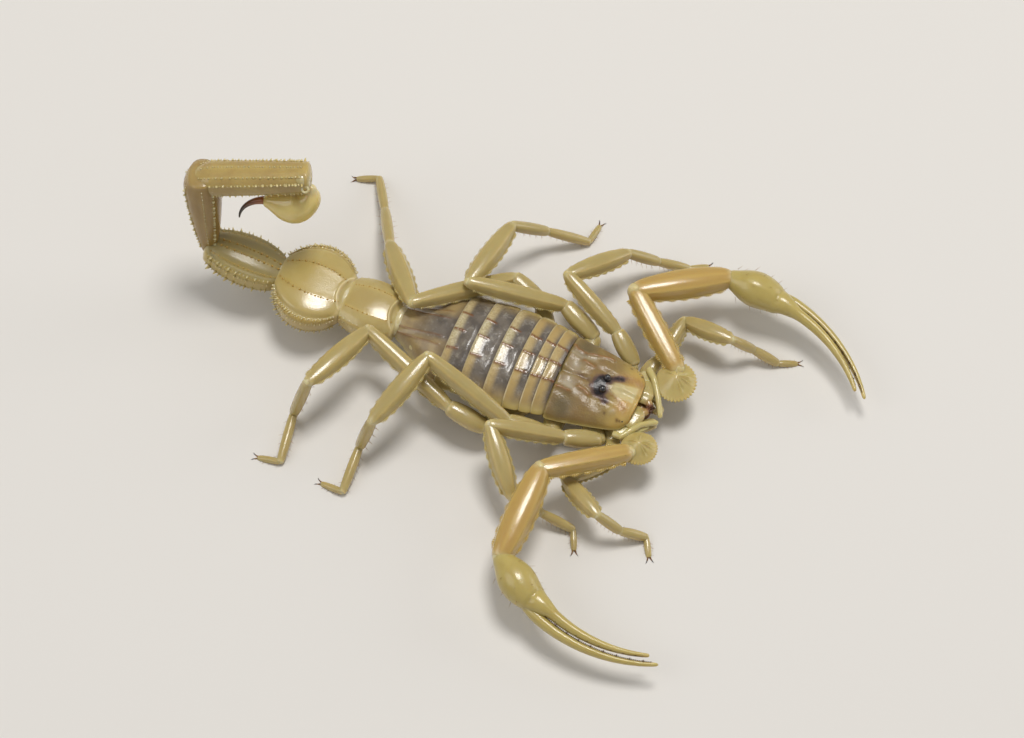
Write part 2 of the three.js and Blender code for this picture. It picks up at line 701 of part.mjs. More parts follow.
const lastLength = tail[last];
const lastFrame = frameAlong(tailChain.joints[last], tailChain.ways[last], tailBacks[last]);
const telsonEnd = lastLength.length;
const bulb = vesicleDiameter / 2;
const bulbDepth = lastLength.height / 2 + gap + bulb;

// From the neck at the end of the tail, round the bulb, to where the sting leaves it.
const vesicle = bentTube([
  { y: telsonEnd + 0.9, z: bulbDepth - 2.5, radius: 0.7 },
  { y: telsonEnd + 0.75, z: bulbDepth - 1.7, radius: 1.2 },
  { y: telsonEnd + 0.1, z: bulbDepth - 0.6, radius: 1.75 },
  { y: telsonEnd - 1.1, z: bulbDepth, radius: bulb },
  { y: telsonEnd - 2.5, z: bulbDepth - 0.1, radius: 0.93 * bulb },
  { y: telsonEnd - 3.8, z: bulbDepth - 0.45, radius: 0.65 * bulb },
  { y: telsonEnd - 5.0, z: bulbDepth - 0.7, radius: 0.4 * bulb },
], 10);

const aculeusRoot = { y: telsonEnd - 5.0 - 1.5 * gap, z: bulbDepth - 0.75 };
const aculeusBends = 7;
const aculeusStations = Array.from({ length: aculeusBends + 1 }, (_, i) => {
  const t = i / aculeusBends;
  const turn = THREE.MathUtils.degToRad(0.8 * aculeus.bend) * t ** 1.3;
  return {
    y: aculeusRoot.y - aculeus.length * Math.sin(turn),
    z: aculeusRoot.z + aculeus.length * (1 - Math.cos(turn)),
    radius: THREE.MathUtils.lerp(aculeus.rootRadius, aculeus.tipRadius, t),
  };
});

const lastRoom = tailSolid({
  ...lastLength,
  width: lastLength.width + 2 * gap,
  height: lastLength.height + 2 * gap,
}, tailOverhangs[last]);
addMesh('telson_vesicle', vesicle.subtract(lastRoom), lemon, lastFrame);
addMesh('telson_aculeus', bentTube(aculeusStations, 7).subtract(lastRoom), stingBrown, lastFrame);

// ---------------------------------------------------------------- pectines

// A comb on each side under the front of the trunk, reaching out past its side.
const combRings = Array.from({ length: 2 * pecten.teeth + 1 }, (_, i) => {
  const t = i / (2 * pecten.teeth);
  const reach = i % 2 === 1 ? pecten.toothReach : pecten.notchReach;
  const halfWidth = reach * (1 - 0.45 * t);
  return ring({ y: t * pecten.length, halfWidth, top: pecten.halfDepth, sides: 4 });
});

[right, left].forEach((side) => {
  const root = place(-4.8, 1.2, coxaeBottom - 0.35, side);
  const name = side === left ? 'pecten_left' : 'pecten_right';
  addMesh(name, skin(combRings), cream, frameAlong(root, direction(side, 112, 0)));
});

// The origin is under the middle of the whole outline, on the ground.
const outline = new THREE.Box3().setFromObject(scorpion, true);
const middle = outline.getCenter(new THREE.Vector3());
scorpion.position.set(-middle.x, -middle.y, -outline.min.z);

export default scorpion;
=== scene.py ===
# %% [markdown]
# # A desert scorpion, still and life-size
#
# The animal is a disc-tailed desert scorpion: slim pincers, eight legs, a broad back of seven
# plates, and a tail whose second length is a flat disc. Its body is a set of hard, glossy,
# slightly see-through shells. The solids of the frame give every shell its place and rough form,
# and this script puts a finished shell over each one. It is a still model, so everything rides
# on one body.

# %% Load the frame
import math

import bmesh
import bpy
import numpy as np
from mathutils import Matrix, Vector


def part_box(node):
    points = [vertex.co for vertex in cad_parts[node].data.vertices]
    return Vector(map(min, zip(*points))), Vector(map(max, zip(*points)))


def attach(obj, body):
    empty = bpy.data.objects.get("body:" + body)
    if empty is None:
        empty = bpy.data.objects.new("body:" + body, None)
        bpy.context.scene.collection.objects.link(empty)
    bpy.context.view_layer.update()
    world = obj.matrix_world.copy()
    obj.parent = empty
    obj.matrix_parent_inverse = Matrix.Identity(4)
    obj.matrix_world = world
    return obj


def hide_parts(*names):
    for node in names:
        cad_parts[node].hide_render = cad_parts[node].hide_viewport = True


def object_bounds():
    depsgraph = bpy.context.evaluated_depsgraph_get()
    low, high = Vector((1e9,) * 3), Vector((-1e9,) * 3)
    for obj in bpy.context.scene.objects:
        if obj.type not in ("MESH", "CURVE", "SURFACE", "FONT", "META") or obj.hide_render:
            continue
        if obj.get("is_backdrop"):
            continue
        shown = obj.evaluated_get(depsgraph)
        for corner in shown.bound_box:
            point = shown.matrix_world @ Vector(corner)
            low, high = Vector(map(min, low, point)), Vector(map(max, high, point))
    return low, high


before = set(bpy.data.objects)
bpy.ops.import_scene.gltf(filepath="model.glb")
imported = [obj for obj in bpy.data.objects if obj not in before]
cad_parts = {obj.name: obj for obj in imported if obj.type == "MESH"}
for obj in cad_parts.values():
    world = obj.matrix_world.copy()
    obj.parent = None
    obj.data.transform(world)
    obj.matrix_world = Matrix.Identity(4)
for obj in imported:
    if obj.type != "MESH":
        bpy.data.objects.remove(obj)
cad_low, cad_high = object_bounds()
print("frame:", len(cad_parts), "nodes,", [round(side * 1000, 1) for side in cad_high - cad_low], "mm")

# %% [markdown]
# ## Body directions
#
# A scorpion is easiest to describe from its own point of view: how far forward, how far out to a
# side, how far up. The zero point is the middle of the rear edge of the carapace, on the ground,
# and it is read from the carapace's solid. Lengths are in millimetres and each piece is modelled
# at one unit for one millimetre, which keeps the numbers handy. The last step of every piece
# shrinks it to its real size and puts it in place.

# %% Body directions and places
MM = 0.001
LEFT, RIGHT = 1, -1
SIDES = (RIGHT, LEFT)
UP = Vector((0, 0, 1))
carapace_low, carapace_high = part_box("carapace")
body_zero = Vector(((carapace_low.x + carapace_high.x) / 2, carapace_high.y, 0))
ground_cut = 0.4  # the pose is given from this much below the flats of the feet


def side_name(side):
    return "left" if side == LEFT else "right"


def place(forward, outward, up, side=LEFT):
    return Vector((side * outward, -forward, up))


def direction(side, heading, pitch):
    turn, climb = math.radians(heading), math.radians(pitch)
    return place(math.cos(turn) * math.cos(climb), math.sin(turn) * math.cos(climb), math.sin(climb), side)


def frame_along(start, along, back=UP):
    """Local Y runs along a limb, and local Z points as near to 'back' as it can."""
    x = along.cross(back).normalized()
    z = x.cross(along)
    turned = Matrix((x, along, z)).transposed().to_4x4()
    return Matrix.Translation(start) @ turned


def in_model(local):
    """From body millimetres to the model's metres."""
    lowered = Matrix.Translation(Vector((0, 0, -ground_cut)))
    return Matrix.Translation(body_zero) @ Matrix.Scale(MM, 4) @ lowered @ local


print("rear edge of the carapace at", [round(v * 1000, 2) for v in body_zero])

# %% [markdown]
# ## Modelling helpers
#
# Every operator works on what is selected, so a helper first clears the selection and picks one
# piece. Most shells begin as a short cylinder whose far cap is extruded and resized from station
# to station, as one would by hand with the E and S keys. A Subdivision Surface then rounds the
# blank, and the fine relief is moved in vertex by vertex, because keels and furrows a tenth of a
# millimetre high are too many to drag by hand.

# %% Pick a piece and open it for editing
def pick(*chosen):
    bpy.ops.object.select_all(action="DESELECT")
    for piece in chosen:
        piece.select_set(True)
    bpy.context.view_layer.objects.active = chosen[0]


def new_piece(name, add, **settings):
    """Starts a piece as one of Blender's primitives."""
    bpy.ops.object.select_all(action="DESELECT")
    add(**settings)
    piece = bpy.context.object
    piece.name = name
    return piece


def open_mesh(piece):
    pick(piece)
    bpy.ops.object.mode_set(mode="EDIT")
    bpy.ops.mesh.select_mode(type="FACE")
    bpy.ops.mesh.select_all(action="DESELECT")


def choose_faces(piece, test):
    cage = bmesh.from_edit_mesh(piece.data)
    for face in cage.faces:
        face.select_set(bool(test(face.calc_center_median(), face.normal)))
    bmesh.update_edit_mesh(piece.data)


def close_mesh():
    bpy.ops.object.mode_set(mode="OBJECT")


def finish_modifier(piece, name):
    pick(piece)
    bpy.ops.object.modifier_apply(modifier=name)


def rounded(piece, levels):
    """A Subdivision Surface, applied."""
    smooth = piece.modifiers.new("rounding", "SUBSURF")
    smooth.levels = smooth.render_levels = levels
    finish_modifier(piece, smooth.name)


# %% A blank: a cylinder whose far cap is drawn out from station to station
def drawn_blank(name, stations, sides, levels=2):
    """Stations are (distance along Y, half width, half height, height of the middle)."""
    (y0, w0, h0, z0), (y1, w1, h1, z1) = stations[:2]
    piece = new_piece(
        name, bpy.ops.mesh.primitive_cylinder_add, vertices=sides, radius=1, depth=y1 - y0,
        location=(0, (y0 + y1) / 2, 0), rotation=(-math.pi / 2, 0, 0),
    )
    bpy.ops.object.transform_apply(location=True, rotation=True, scale=True)
    open_mesh(piece)
    for y, w, h, z in ((y0, w0, h0, z0), (y1, w1, h1, z1)):
        bpy.ops.mesh.select_all(action="DESELECT")
        choose_faces(piece, lambda middle, normal: abs(middle.y - y) < 1e-4)
        bpy.ops.transform.resize(value=(w, 1, h), center_override=(0, y, 0))
        bpy.ops.transform.translate(value=(0, 0, z))
    for (ya, wa, ha, za), (yb, wb, hb, zb) in zip(stations[1:], stations[2:]):
        bpy.ops.mesh.extrude_region_move(TRANSFORM_OT_translate={"value": (0, yb - ya, zb - za)})
        bpy.ops.transform.resize(value=(wb / wa, 1, hb / ha), center_override=(0, yb, zb))
    close_mesh()
    rounded(piece, levels)
    return piece


# %% Relief: read and write all the points of a piece at once
def points_of(piece):
    flat = np.empty(len(piece.data.vertices) * 3)
    piece.data.vertices.foreach_get("co", flat)
    return flat.reshape(-1, 3)


def move_points(piece, points):
    piece.data.vertices.foreach_set("co", np.asarray(points, float).ravel())
    piece.data.update()


def mark(piece, **fields):
    """Writes named numbers on the points, for a material to read."""
    for name, values in fields.items():
        field = piece.data.attributes.get(name) or piece.data.attributes.new(name, "FLOAT", "POINT")
        field.data.foreach_set("value", np.asarray(values, np.float32).ravel())


def bump(value, middle, width):
    """A soft ridge: 1 at the middle, fading over the width."""
    return np.exp(-(((value - middle) / width) ** 2))


def fade(value, start, end):
    """0 before start, 1 after end, smooth between."""
    t = np.clip((value - start) / (end - start), 0, 1)
    return t * t * (3 - 2 * t)


def turn_gap(angle, target):
    """How far round the section an angle is from another, in radians."""
    return np.abs((angle - target + math.pi) % (2 * math.pi) - math.pi)


# %% Put a finished piece in place
DEEPEST_CLAW = 0.8  # claws and foot hairs reach less than this under the floor, and are pressed flat


def settle(piece, local, finish, slot, *nodes):
    """Shrinks a piece to its real size at its place, and gives it its finish and body."""
    piece.matrix_world = in_model(local)
    pick(piece)
    bpy.ops.object.transform_apply(location=True, rotation=True, scale=True)
    points = points_of(piece)
    lowest = points[:, 2].min()
    if lowest < -DEEPEST_CLAW * MM:  # a fault in the shape, never to be hidden
        raise ValueError(f"{piece.name} reaches {-lowest / MM:.2f} mm under the floor")
    if lowest < 0:  # a foot is flat where it stands on the floor
        points[:, 2] = np.maximum(points[:, 2], 0)
        move_points(piece, points)
    bpy.ops.object.shade_smooth()
    piece.data.materials.clear()
    piece.data.materials.append(finish)
    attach(piece, "root")
    if nodes:
        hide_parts(*nodes)
    return piece


def joined(name, parts):
    """Several meshes as one piece."""
    pick(*parts)
    if len(parts) > 1:
        bpy.ops.object.join()
    parts[0].name = name
    return parts[0]

# %% [markdown]
# ## Camera, floor and light
#
# The animal is seen from its right front, from high up, through a long lens, so that its limbs
# keep their true proportions. The floor is a wide pale sheet. Three large soft lamps and a pale
# sky light it: long soft highlights are what makes a glossy shell read as glossy, and they come
# from the size of the lamps, not from their strength.

# %% Camera
AIM_FORWARD, AIM_OUTWARD = -7.11, 1.43  # the point aimed at, on the floor under the back
CAMERA_TURN = math.radians(-67.5 - 90)  # towards the animal's right front
CAMERA_RISE = math.radians(60)
CAMERA_DISTANCE = 0.4594
LENS, SENSOR = 128.08, 36

look_at = in_model(Matrix.Translation(place(AIM_FORWARD, AIM_OUTWARD, ground_cut))).translation
camera_way = Vector((math.cos(CAMERA_TURN), math.sin(CAMERA_TURN), 0))
toward_camera = (camera_way * math.cos(CAMERA_RISE) + UP * math.sin(CAMERA_RISE)).normalized()

bpy.ops.object.camera_add(location=look_at + toward_camera * CAMERA_DISTANCE)
camera = bpy.context.object
camera.rotation_euler = toward_camera.to_track_quat("Z", "Y").to_euler()
camera.data.lens = LENS
camera.data.sensor_width = SENSOR
camera.data.clip_start = 0.01
bpy.context.scene.camera = camera
print("camera at", [round(v, 3) for v in camera.location])

# %% Floor
bpy.ops.mesh.primitive_plane_add(size=3, location=(0, 0, 0))
floor = bpy.context.object
floor.name = "floor"
floor_paint = bpy.data.materials.new("pale floor")
floor_paint.use_nodes = True
floor_shader = floor_paint.node_tree.nodes["Principled BSDF"]
floor_shader.inputs["Base Color"].default_value = (0.74, 0.72, 0.69, 1)
floor_shader.inputs["Roughness"].default_value = 0.9
floor.data.materials.append(floor_paint)
floor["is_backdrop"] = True

# %% Lamps and sky
def soft_lamp(name, way, distance, size, watts, tint=(1, 1, 1)):
    bpy.ops.object.light_add(type="AREA", location=look_at + Vector(way).normalized() * distance)
    lamp = bpy.context.object
    lamp.name = name
    lamp.data.shape = "DISK"
    lamp.data.size = size
    lamp.data.energy = watts
    lamp.data.color = tint
    lamp.rotation_euler = Vector(way).to_track_quat("Z", "Y").to_euler()
    return lamp


view_right = toward_camera.cross(UP).normalized() * -1
soft_lamp(
    "key lamp", toward_camera * -0.36 + UP * 1.1 + view_right * 0.1,
    distance=0.8, size=0.28, watts=3.7, tint=(1, 0.98, 0.95),
)
soft_lamp(
    "fill lamp", toward_camera * 0.5 - view_right + UP * 0.5,
    distance=0.9, size=0.6, watts=1.35, tint=(1, 0.99, 0.97),
)
soft_lamp("rim lamp", -toward_camera * 0.4 + view_right * 0.6 + UP * 0.6, distance=0.9, size=0.5, watts=1.1)

sky = bpy.data.worlds.new("pale sky")
bpy.context.scene.world = sky
sky.use_nodes = True
sky.node_tree.nodes["Background"].inputs["Color"].default_value = (1, 0.98, 0.95, 1)
sky.node_tree.nodes["Background"].inputs["Strength"].default_value = 0.34
bpy.context.scene.view_settings.view_transform = "Standard"

# %% [markdown]
# ## Finishes
#
# The shell is chitin: glossy, a little translucent, honey yellow where it is thick and pale where
# it is thin. One function builds such a finish from a few colours. Each piece carries named
# numbers on its points (how near a point is to a keel, a rim, a joint), and the finish reads them
# to darken keels, pale the joints and so on. Fine noise in object coordinates breaks up the
# colour, and a cell pattern gives the shagreen, the sandpaper grain of the shell.

# %% A small set of node helpers
class Recipe:
    """A material under construction: its nodes are added and joined from left to right."""

    def __init__(self, name, roughness, coat, soft):
        self.material = bpy.data.materials.new(name)
        self.material.use_nodes = True
        self.tree = self.material.node_tree
        self.shader = self.tree.nodes["Principled BSDF"]
        self.shader.inputs["Roughness"].default_value = roughness
        self.shader.inputs["Coat Weight"].default_value = coat
        self.shader.inputs["Coat Roughness"].default_value = 0.12
        self.shader.inputs["IOR"].default_value = 1.5
        self.shader.inputs["Subsurface Weight"].default_value = soft
        self.shader.inputs["Subsurface Radius"].default_value = (1.0, 0.7, 0.3)
        self.shader.inputs["Subsurface Scale"].default_value = 0.0011
        self.place = self.tree.nodes.new("ShaderNodeTexCoord").outputs["Object"]

    def join(self, source, target):
        if hasattr(source, "is_output"):
            self.tree.links.new(source, target)
        else:
            target.default_value = (*source, 1) if isinstance(source, tuple) and len(source) == 3 else source

    def field(self, name):
        node = self.tree.nodes.new("ShaderNodeAttribute")
        node.attribute_name = name
        return node.outputs["Fac"]

    def noise(self, size_mm, detail=3.0, distortion=0.0):
        node = self.tree.nodes.new("ShaderNodeTexNoise")
        node.inputs["Scale"].default_value = 1000 / size_mm
        node.inputs["Detail"].default_value = detail
        node.inputs["Distortion"].default_value = distortion
        self.join(self.place, node.inputs["Vector"])
        return node.outputs["Fac"]

    def grains(self, size_mm):
        node = self.tree.nodes.new("ShaderNodeTexVoronoi")
        node.inputs["Scale"].default_value = 1000 / size_mm
        self.join(self.place, node.inputs["Vector"])
        return node.outputs["Distance"]

    def span(self, value, low, high, out_low=0.0, out_high=1.0):
        node = self.tree.nodes.new("ShaderNodeMapRange")
        node.interpolation_type = "SMOOTHSTEP"
        for name, number in zip(("From Min", "From Max", "To Min", "To Max"), (low, high, out_low, out_high)):
            node.inputs[name].default_value = number
        self.join(value, node.inputs["Value"])
        return node.outputs["Result"]

    def times(self, a, b):
        node = self.tree.nodes.new("ShaderNodeMath")
        node.operation = "MULTIPLY"
        self.join(a, node.inputs[0])
        self.join(b, node.inputs[1])
        return node.outputs[0]

    def mix(self, share, under, over):
        node = self.tree.nodes.new("ShaderNodeMix")
        node.data_type = "RGBA"
        colors = [socket for socket in node.inputs if socket.type == "RGBA"]
        self.join(share, node.inputs["Factor"])
        self.join(under, colors[0])
        self.join(over, colors[1])
        return next(socket for socket in node.outputs if socket.type == "RGBA")

    def laid(self, color, layers):
        """Lays colours over one another, each where a named number on the points says so."""
        for name, share, over in layers:
            here = self.field(name) if share is None else self.times(self.field(name), share)
            color = self.mix(here, color, over)
        return color

    def relief(self, height, depth_mm, strength, under=None):
        node = self.tree.nodes.new("ShaderNodeBump")
        node.inputs["Distance"].default_value = depth_mm * MM
        node.inputs["Strength"].default_value = strength
        self.join(height, node.inputs["Height"])
        if under is not None:
            self.join(under, node.inputs["Normal"])
        return node.outputs["Normal"]

    def done(self, color, normal):
        self.join(color, self.shader.inputs["Base Color"])
        self.join(normal, self.shader.inputs["Normal"])
        return self.material


# %% The shell finish
EMBER = (0.56, 0.32, 0.07)  # the rows of grains on the broad lengths of the tail


def shell_finish(name, body, deep, keel, joint, roughness=0.24, soft=0.35, grain=0.5, coat=0.5):
    """body: the main colour, deep: where it is thick, keel: along ridges and as a painted glow on the lower
    sides, joint: near the joints.
    """
    recipe = Recipe(name, roughness, coat=coat, soft=soft)
    cloudy = recipe.span(recipe.noise(2.6, 3, 0.4), 0.35, 0.65)
    color = recipe.mix(recipe.times(cloudy, 0.55), body, deep)
    fine = recipe.span(recipe.noise(0.28, 4), 0.52, 0.72)
    color = recipe.mix(recipe.times(fine, 0.25), color, deep)
    speck = recipe.span(recipe.grains(0.55), 0.1, 0.0)
    color = recipe.mix(recipe.times(speck, 0.45), color, keel)
    color = recipe.laid(color, (
        # The keel colour is laid on a limb's lower sides and rim as a painted glow, as if light shone through
        # the thin shell there.
        ("flank", 0.6, keel), ("core", 0.5, deep), ("keel", None, keel), ("joint", None, joint),
        ("ember", None, EMBER),
    ))
    rough = recipe.relief(recipe.grains(0.16), 0.02, grain)
    uneven = recipe.relief(recipe.noise(1.1, 2), 0.05, 0.35, under=rough)
    return recipe.done(color, uneven)


# %% The shells' finishes
PALE = (0.52, 0.42, 0.17)
CREAM = (0.68, 0.57, 0.3)
STRAW = (0.6, 0.47, 0.18)

palp_finish = shell_finish(
    "honey pincer arm", (0.5, 0.33, 0.09), (0.46, 0.29, 0.085), (0.58, 0.4, 0.11), CREAM,
)
hand_finish = shell_finish(
    "pale pincer", (0.5, 0.4, 0.125), (0.43, 0.33, 0.095), (0.58, 0.46, 0.18), PALE, 0.28, coat=0.35,
)
leg_finish = shell_finish(
    "pale leg", (0.47, 0.37, 0.145), (0.4, 0.315, 0.12), (0.56, 0.42, 0.15), CREAM, soft=0.45,
)
tail_finish = shell_finish("honey tail", (0.5, 0.4, 0.16), (0.42, 0.31, 0.11), (0.6, 0.44, 0.14), CREAM, 0.2)
disc_finish = shell_finish(
    "honey disc", (0.5, 0.39, 0.15), (0.43, 0.33, 0.11), (0.46, 0.32, 0.08), (0.72, 0.6, 0.33), 0.2,
)
grey_tail_finish = shell_finish(
    "grey-cored tail", (0.38, 0.3, 0.1), (0.3, 0.245, 0.12), (0.52, 0.38, 0.1), CREAM, 0.34, coat=0.25,
)
dark_tail_finish = shell_finish(
    "smoky tail", (0.36, 0.235, 0.06), (0.27, 0.165, 0.045), (0.42, 0.28, 0.08), (0.76, 0.66, 0.36),
    coat=0.2,
)
last_tail_finish = shell_finish(
    "ribbed tail", (0.5, 0.375, 0.12), (0.35, 0.235, 0.08), (0.5, 0.37, 0.12), (0.72, 0.58, 0.27),
    coat=0.35,
)
underside_finish = shell_finish("cream underside", CREAM, PALE, STRAW, (0.75, 0.66, 0.42), roughness=0.3)
vesicle_finish = shell_finish(
    "lemon bulb", (0.77, 0.62, 0.23), (0.71, 0.56, 0.19), (0.5, 0.36, 0.12), CREAM, 0.16, grain=0.1,
)


# %% Simple finishes
def plain_finish(name, color, other, roughness, size_mm=0.6, coat=0.0, soft=0.0):
    """Two colours in soft clouds of the size given."""
    recipe = Recipe(name, roughness, coat, soft)
    shade = recipe.mix(recipe.span(recipe.noise(size_mm), 0.35, 0.65), color, other)
    return recipe.done(shade, recipe.relief(recipe.noise(0.2), 0.01, 0.3))


membrane_finish = plain_finish("joint membrane", (0.62, 0.5, 0.22), (0.7, 0.6, 0.34), 0.35, soft=0.4)
denticle_finish = plain_finish("dark denticle", (0.05, 0.022, 0.01), (0.11, 0.045, 0.015), 0.25)
hair_finish = plain_finish("honey hair", (0.42, 0.25, 0.08), (0.3, 0.16, 0.05), 0.4)
claw_finish = plain_finish("claw", (0.25, 0.13, 0.04), (0.12, 0.05, 0.02), 0.25)
eye_finish = plain_finish("black eye", (0.006, 0.005, 0.008), (0.012, 0.01, 0.014), 0.06, coat=1.0)


def sting_color():
    """Reddish at the root of the sting, black at its point."""
    recipe = Recipe("sting", 0.18, coat=0.6, soft=0.1)
    toward_point = recipe.span(recipe.field("along"), 0.05, 0.75)
    color = recipe.mix(toward_point, (0.32, 0.1, 0.025), (0.012, 0.006, 0.004))
    return recipe.done(color, recipe.relief(recipe.noise(0.4), 0.01, 0.3))


sting_finish = sting_color()
print("finishes:", len(bpy.data.materials))

# %% [markdown]
# ## Small teeth, grains and hairs
#
# Keels are set with teeth, fingers with dark denticles and feet with hairs: hundreds of small
# copies of three shapes. Each shape is modelled once, a cone pinched to a tooth, a low dome, a
# thin bristle, and its copies are written side by side into one mesh. A copy is turned so that its
# own Z stands off the shell.

# %% Model a tooth, a grain and a bristle once
def small_cone(name, sides, waist, tip):
    """A unit cone: base radius 1, height 1, pinched or swollen half way up."""
    piece = new_piece(
        name, bpy.ops.mesh.primitive_cone_add, vertices=sides, radius1=1, radius2=waist,
        depth=0.5, location=(0, 0, 0.25),
    )
    bpy.ops.object.transform_apply(location=True, rotation=True, scale=True)
    open_mesh(piece)
    choose_faces(piece, lambda middle, normal: normal.z > 0.9)
    bpy.ops.mesh.extrude_region_move(TRANSFORM_OT_translate={"value": (0, 0, 0.5)})
    bpy.ops.transform.resize(value=(tip / waist, tip / waist, 1), center_override=(0, 0, 1))
    close_mesh()
    return piece


seed_shapes = {}
SEEDS = (("tooth", 6, 0.62, 0.12), ("grain", 6, 0.85, 0.35), ("bristle", 4, 0.7, 0.15))
for kind, sides, waist, tip in SEEDS:
    seed = small_cone(f"{kind}_shape", sides, waist, tip)
    seed_shapes[kind] = points_of(seed), [tuple(face.vertices) for face in seed.data.polygons]
    bpy.data.objects.remove(seed)


def scattered(name, kind, feet, ways, radii, heights):
    """One mesh holding a copy of a seed shape at each foot, standing along its way."""
    points, faces = seed_shapes[kind]
    feet, ways = np.asarray(feet, float), np.asarray(ways, float)
    ways = ways / np.linalg.norm(ways, axis=1)[:, None]
    helper = np.where(np.abs(ways[:, 2:3]) > 0.9, [[1.0, 0, 0]], [[0, 0, 1.0]])
    across = np.cross(helper, ways)
    across /= np.linalg.norm(across, axis=1)[:, None]
    aside = np.cross(ways, across)
    radii, heights = np.broadcast_to(radii, len(feet)), np.broadcast_to(heights, len(feet))
    all_points, all_faces = [], []
    for i in range(len(feet)):
        base = i * len(points)
        copy = points[:, :1] * across[i] * radii[i] + points[:, 1:2] * aside[i] * radii[i]
        all_points.append(feet[i] + copy + points[:, 2:3] * ways[i] * heights[i])
        all_faces += [tuple(base + corner for corner in face) for face in faces]
    mesh = bpy.data.meshes.new(name)
    mesh.from_pydata(np.concatenate(all_points).tolist(), [], all_faces)
    piece = bpy.data.objects.new(name, mesh)
    bpy.context.scene.collection.objects.link(piece)
    return piece


print("seed shapes:", {kind: len(data[1]) for kind, data in seed_shapes.items()})

# %% [markdown]
# ## Limb lengths
#
# Every length of a leg or pincer arm is a tapering tube, slim at its two joints and swollen
# between, with keels running along it. It is drawn out from a cylinder, rounded, and then its
# section is squared a little and its keels raised. The teeth on a keel are cones set along the
# same line. A soft pale ball fills each joint, where the real animal has folded skin.

# %% One limb length
def swelling(t, waist, peak):
    return waist + (1 - waist) * np.sin(np.pi * np.clip(t, 0, 1) ** peak) ** 0.8


def squareness(angle, power):
    """How far out the rim of a superellipse lies at an angle, for radii of 1."""
    return (np.abs(np.cos(angle)) ** power + np.abs(np.sin(angle)) ** power) ** (-1 / power)


def limb_shell(name, length, shape, stations, sides):
    """shape: width, depth, waist, peak, power, keels. Keels: (angle, height, spread, teeth, tooth size)."""
    width, depth, waist = shape["width"], shape["depth"], shape["waist"]
    peak, power = shape.get("peak", 1.0), shape.get("power", 2.3)
    end = 0.5 * waist * width
    rings = [(-0.42 * end, 0.42, 0), (-0.3 * end, 0.74, 0)]
    for i in range(stations):
        t = i / (stations - 1)
        rings.append((length * i / (stations - 1), float(swelling(t, 1, 1)), t))
    rings += [(length + 0.3 * end, 0.74, 1), (length + 0.42 * end, 0.42, 1)]
    keep = 3 / (2 + math.cos(2 * math.pi / sides))  # rounding shrinks the cage by this much
    sizes = [keep * girth * swelling(t, waist, peak) / 2 for _, girth, t in rings]
    cage = [(ring[0], width * size, depth * size, 0.0) for ring, size in zip(rings, sizes)]
    piece = drawn_blank(name, cage, sides)

    points = points_of(piece)
    x, y, z = points.T
    t = y / length
    angle = np.arctan2(z / depth, x / width)
    girth = squareness(angle, power)
    keel = np.zeros(len(points))
    inside = fade(t, 0.0, 0.08) * (1 - fade(t, 0.94, 1.0))
    for at, height, spread, *_ in shape.get("keels", ()):
        ridge = bump(turn_gap(angle, math.radians(at)), 0, math.radians(spread))
        girth += height * ridge * inside
        keel = np.maximum(keel, ridge * inside * shape.get("keel_tint", 0.7))
    points[:, 0] *= girth
    points[:, 2] *= girth
    move_points(piece, points)
    joint = np.maximum(1 - fade(t, -0.02, 0.05), fade(t, 0.95, 1.02)) * shape.get("joint_tint", 0.6)
    # Painted light: the lower sides and the rim are marked for a paler colour, a glow as if light shone
    # through the thin shell.
    flank = np.clip(1.0 - 1.7 * np.sin(angle), 0, 1)
    core = bump(turn_gap(angle, math.pi / 2), 0, 0.5) * inside
    mark(piece, keel=keel, joint=joint, along=t, flank=flank, core=core)
    return piece


def keel_teeth(name, length, shape):
    """The teeth along a limb's keels, in the limb's own frame."""
    feet, ways, radii, heights = [], [], [], []
    width, depth, waist = shape["width"], shape["depth"], shape["waist"]
    for at, height, _, teeth, size in shape.get("keels", ()):
        a = math.radians(at)
        squared = squareness(a, shape.get("power", 2.3))
        for i in range(teeth):
            t = 0.06 + 0.88 * (i + 0.5) / teeth
            girth = float(swelling(t, waist, shape.get("peak", 1.0))) * (squared + height) * 0.96
            out = np.array([math.cos(a) * width, 0, math.sin(a) * depth]) / 2
            feet.append(out * girth + np.array([0, t * length, 0]))
            ways.append(out / np.linalg.norm(out) + np.array([0, 0.3, 0]))
            swing = 0.85 + 0.25 * math.sin(7.3 * i + at)
            radii.append(0.5 * size * swing)
            heights.append(1.05 * size * swing)
    teeth_piece = scattered(name, "tooth", feet, ways, radii, heights)
    mark(teeth_piece, keel=np.full(len(teeth_piece.data.vertices), 0.85))
    return teeth_piece


def joint_ball(name, place_mm, radius):
    """A ball of folded skin that fills a joint."""
    ball = new_piece(name, bpy.ops.mesh.primitive_ico_sphere_add, subdivisions=3, radius=radius)
    points = points_of(ball)
    folds = 1 + 0.05 * np.sin(points[:, 2] / radius * 14)
    move_points(ball, points * folds[:, None])
    return settle(ball, Matrix.Translation(place_mm), membrane_finish, "underside")

# %% [markdown]
# ## The eight legs
#
# A leg has six lengths: trochanter, femur, patella, tibia, and a foot of two lengths that ends in
# a pair of claws. All eight legs are built the same way and differ only in their lengths and in
# how each joint is turned, so one table gives the headings and pitches of every length, and one
# function walks from joint to joint. Femur and patella carry finely toothed ridges along their
# edges. Hairs stand on the four outer lengths.

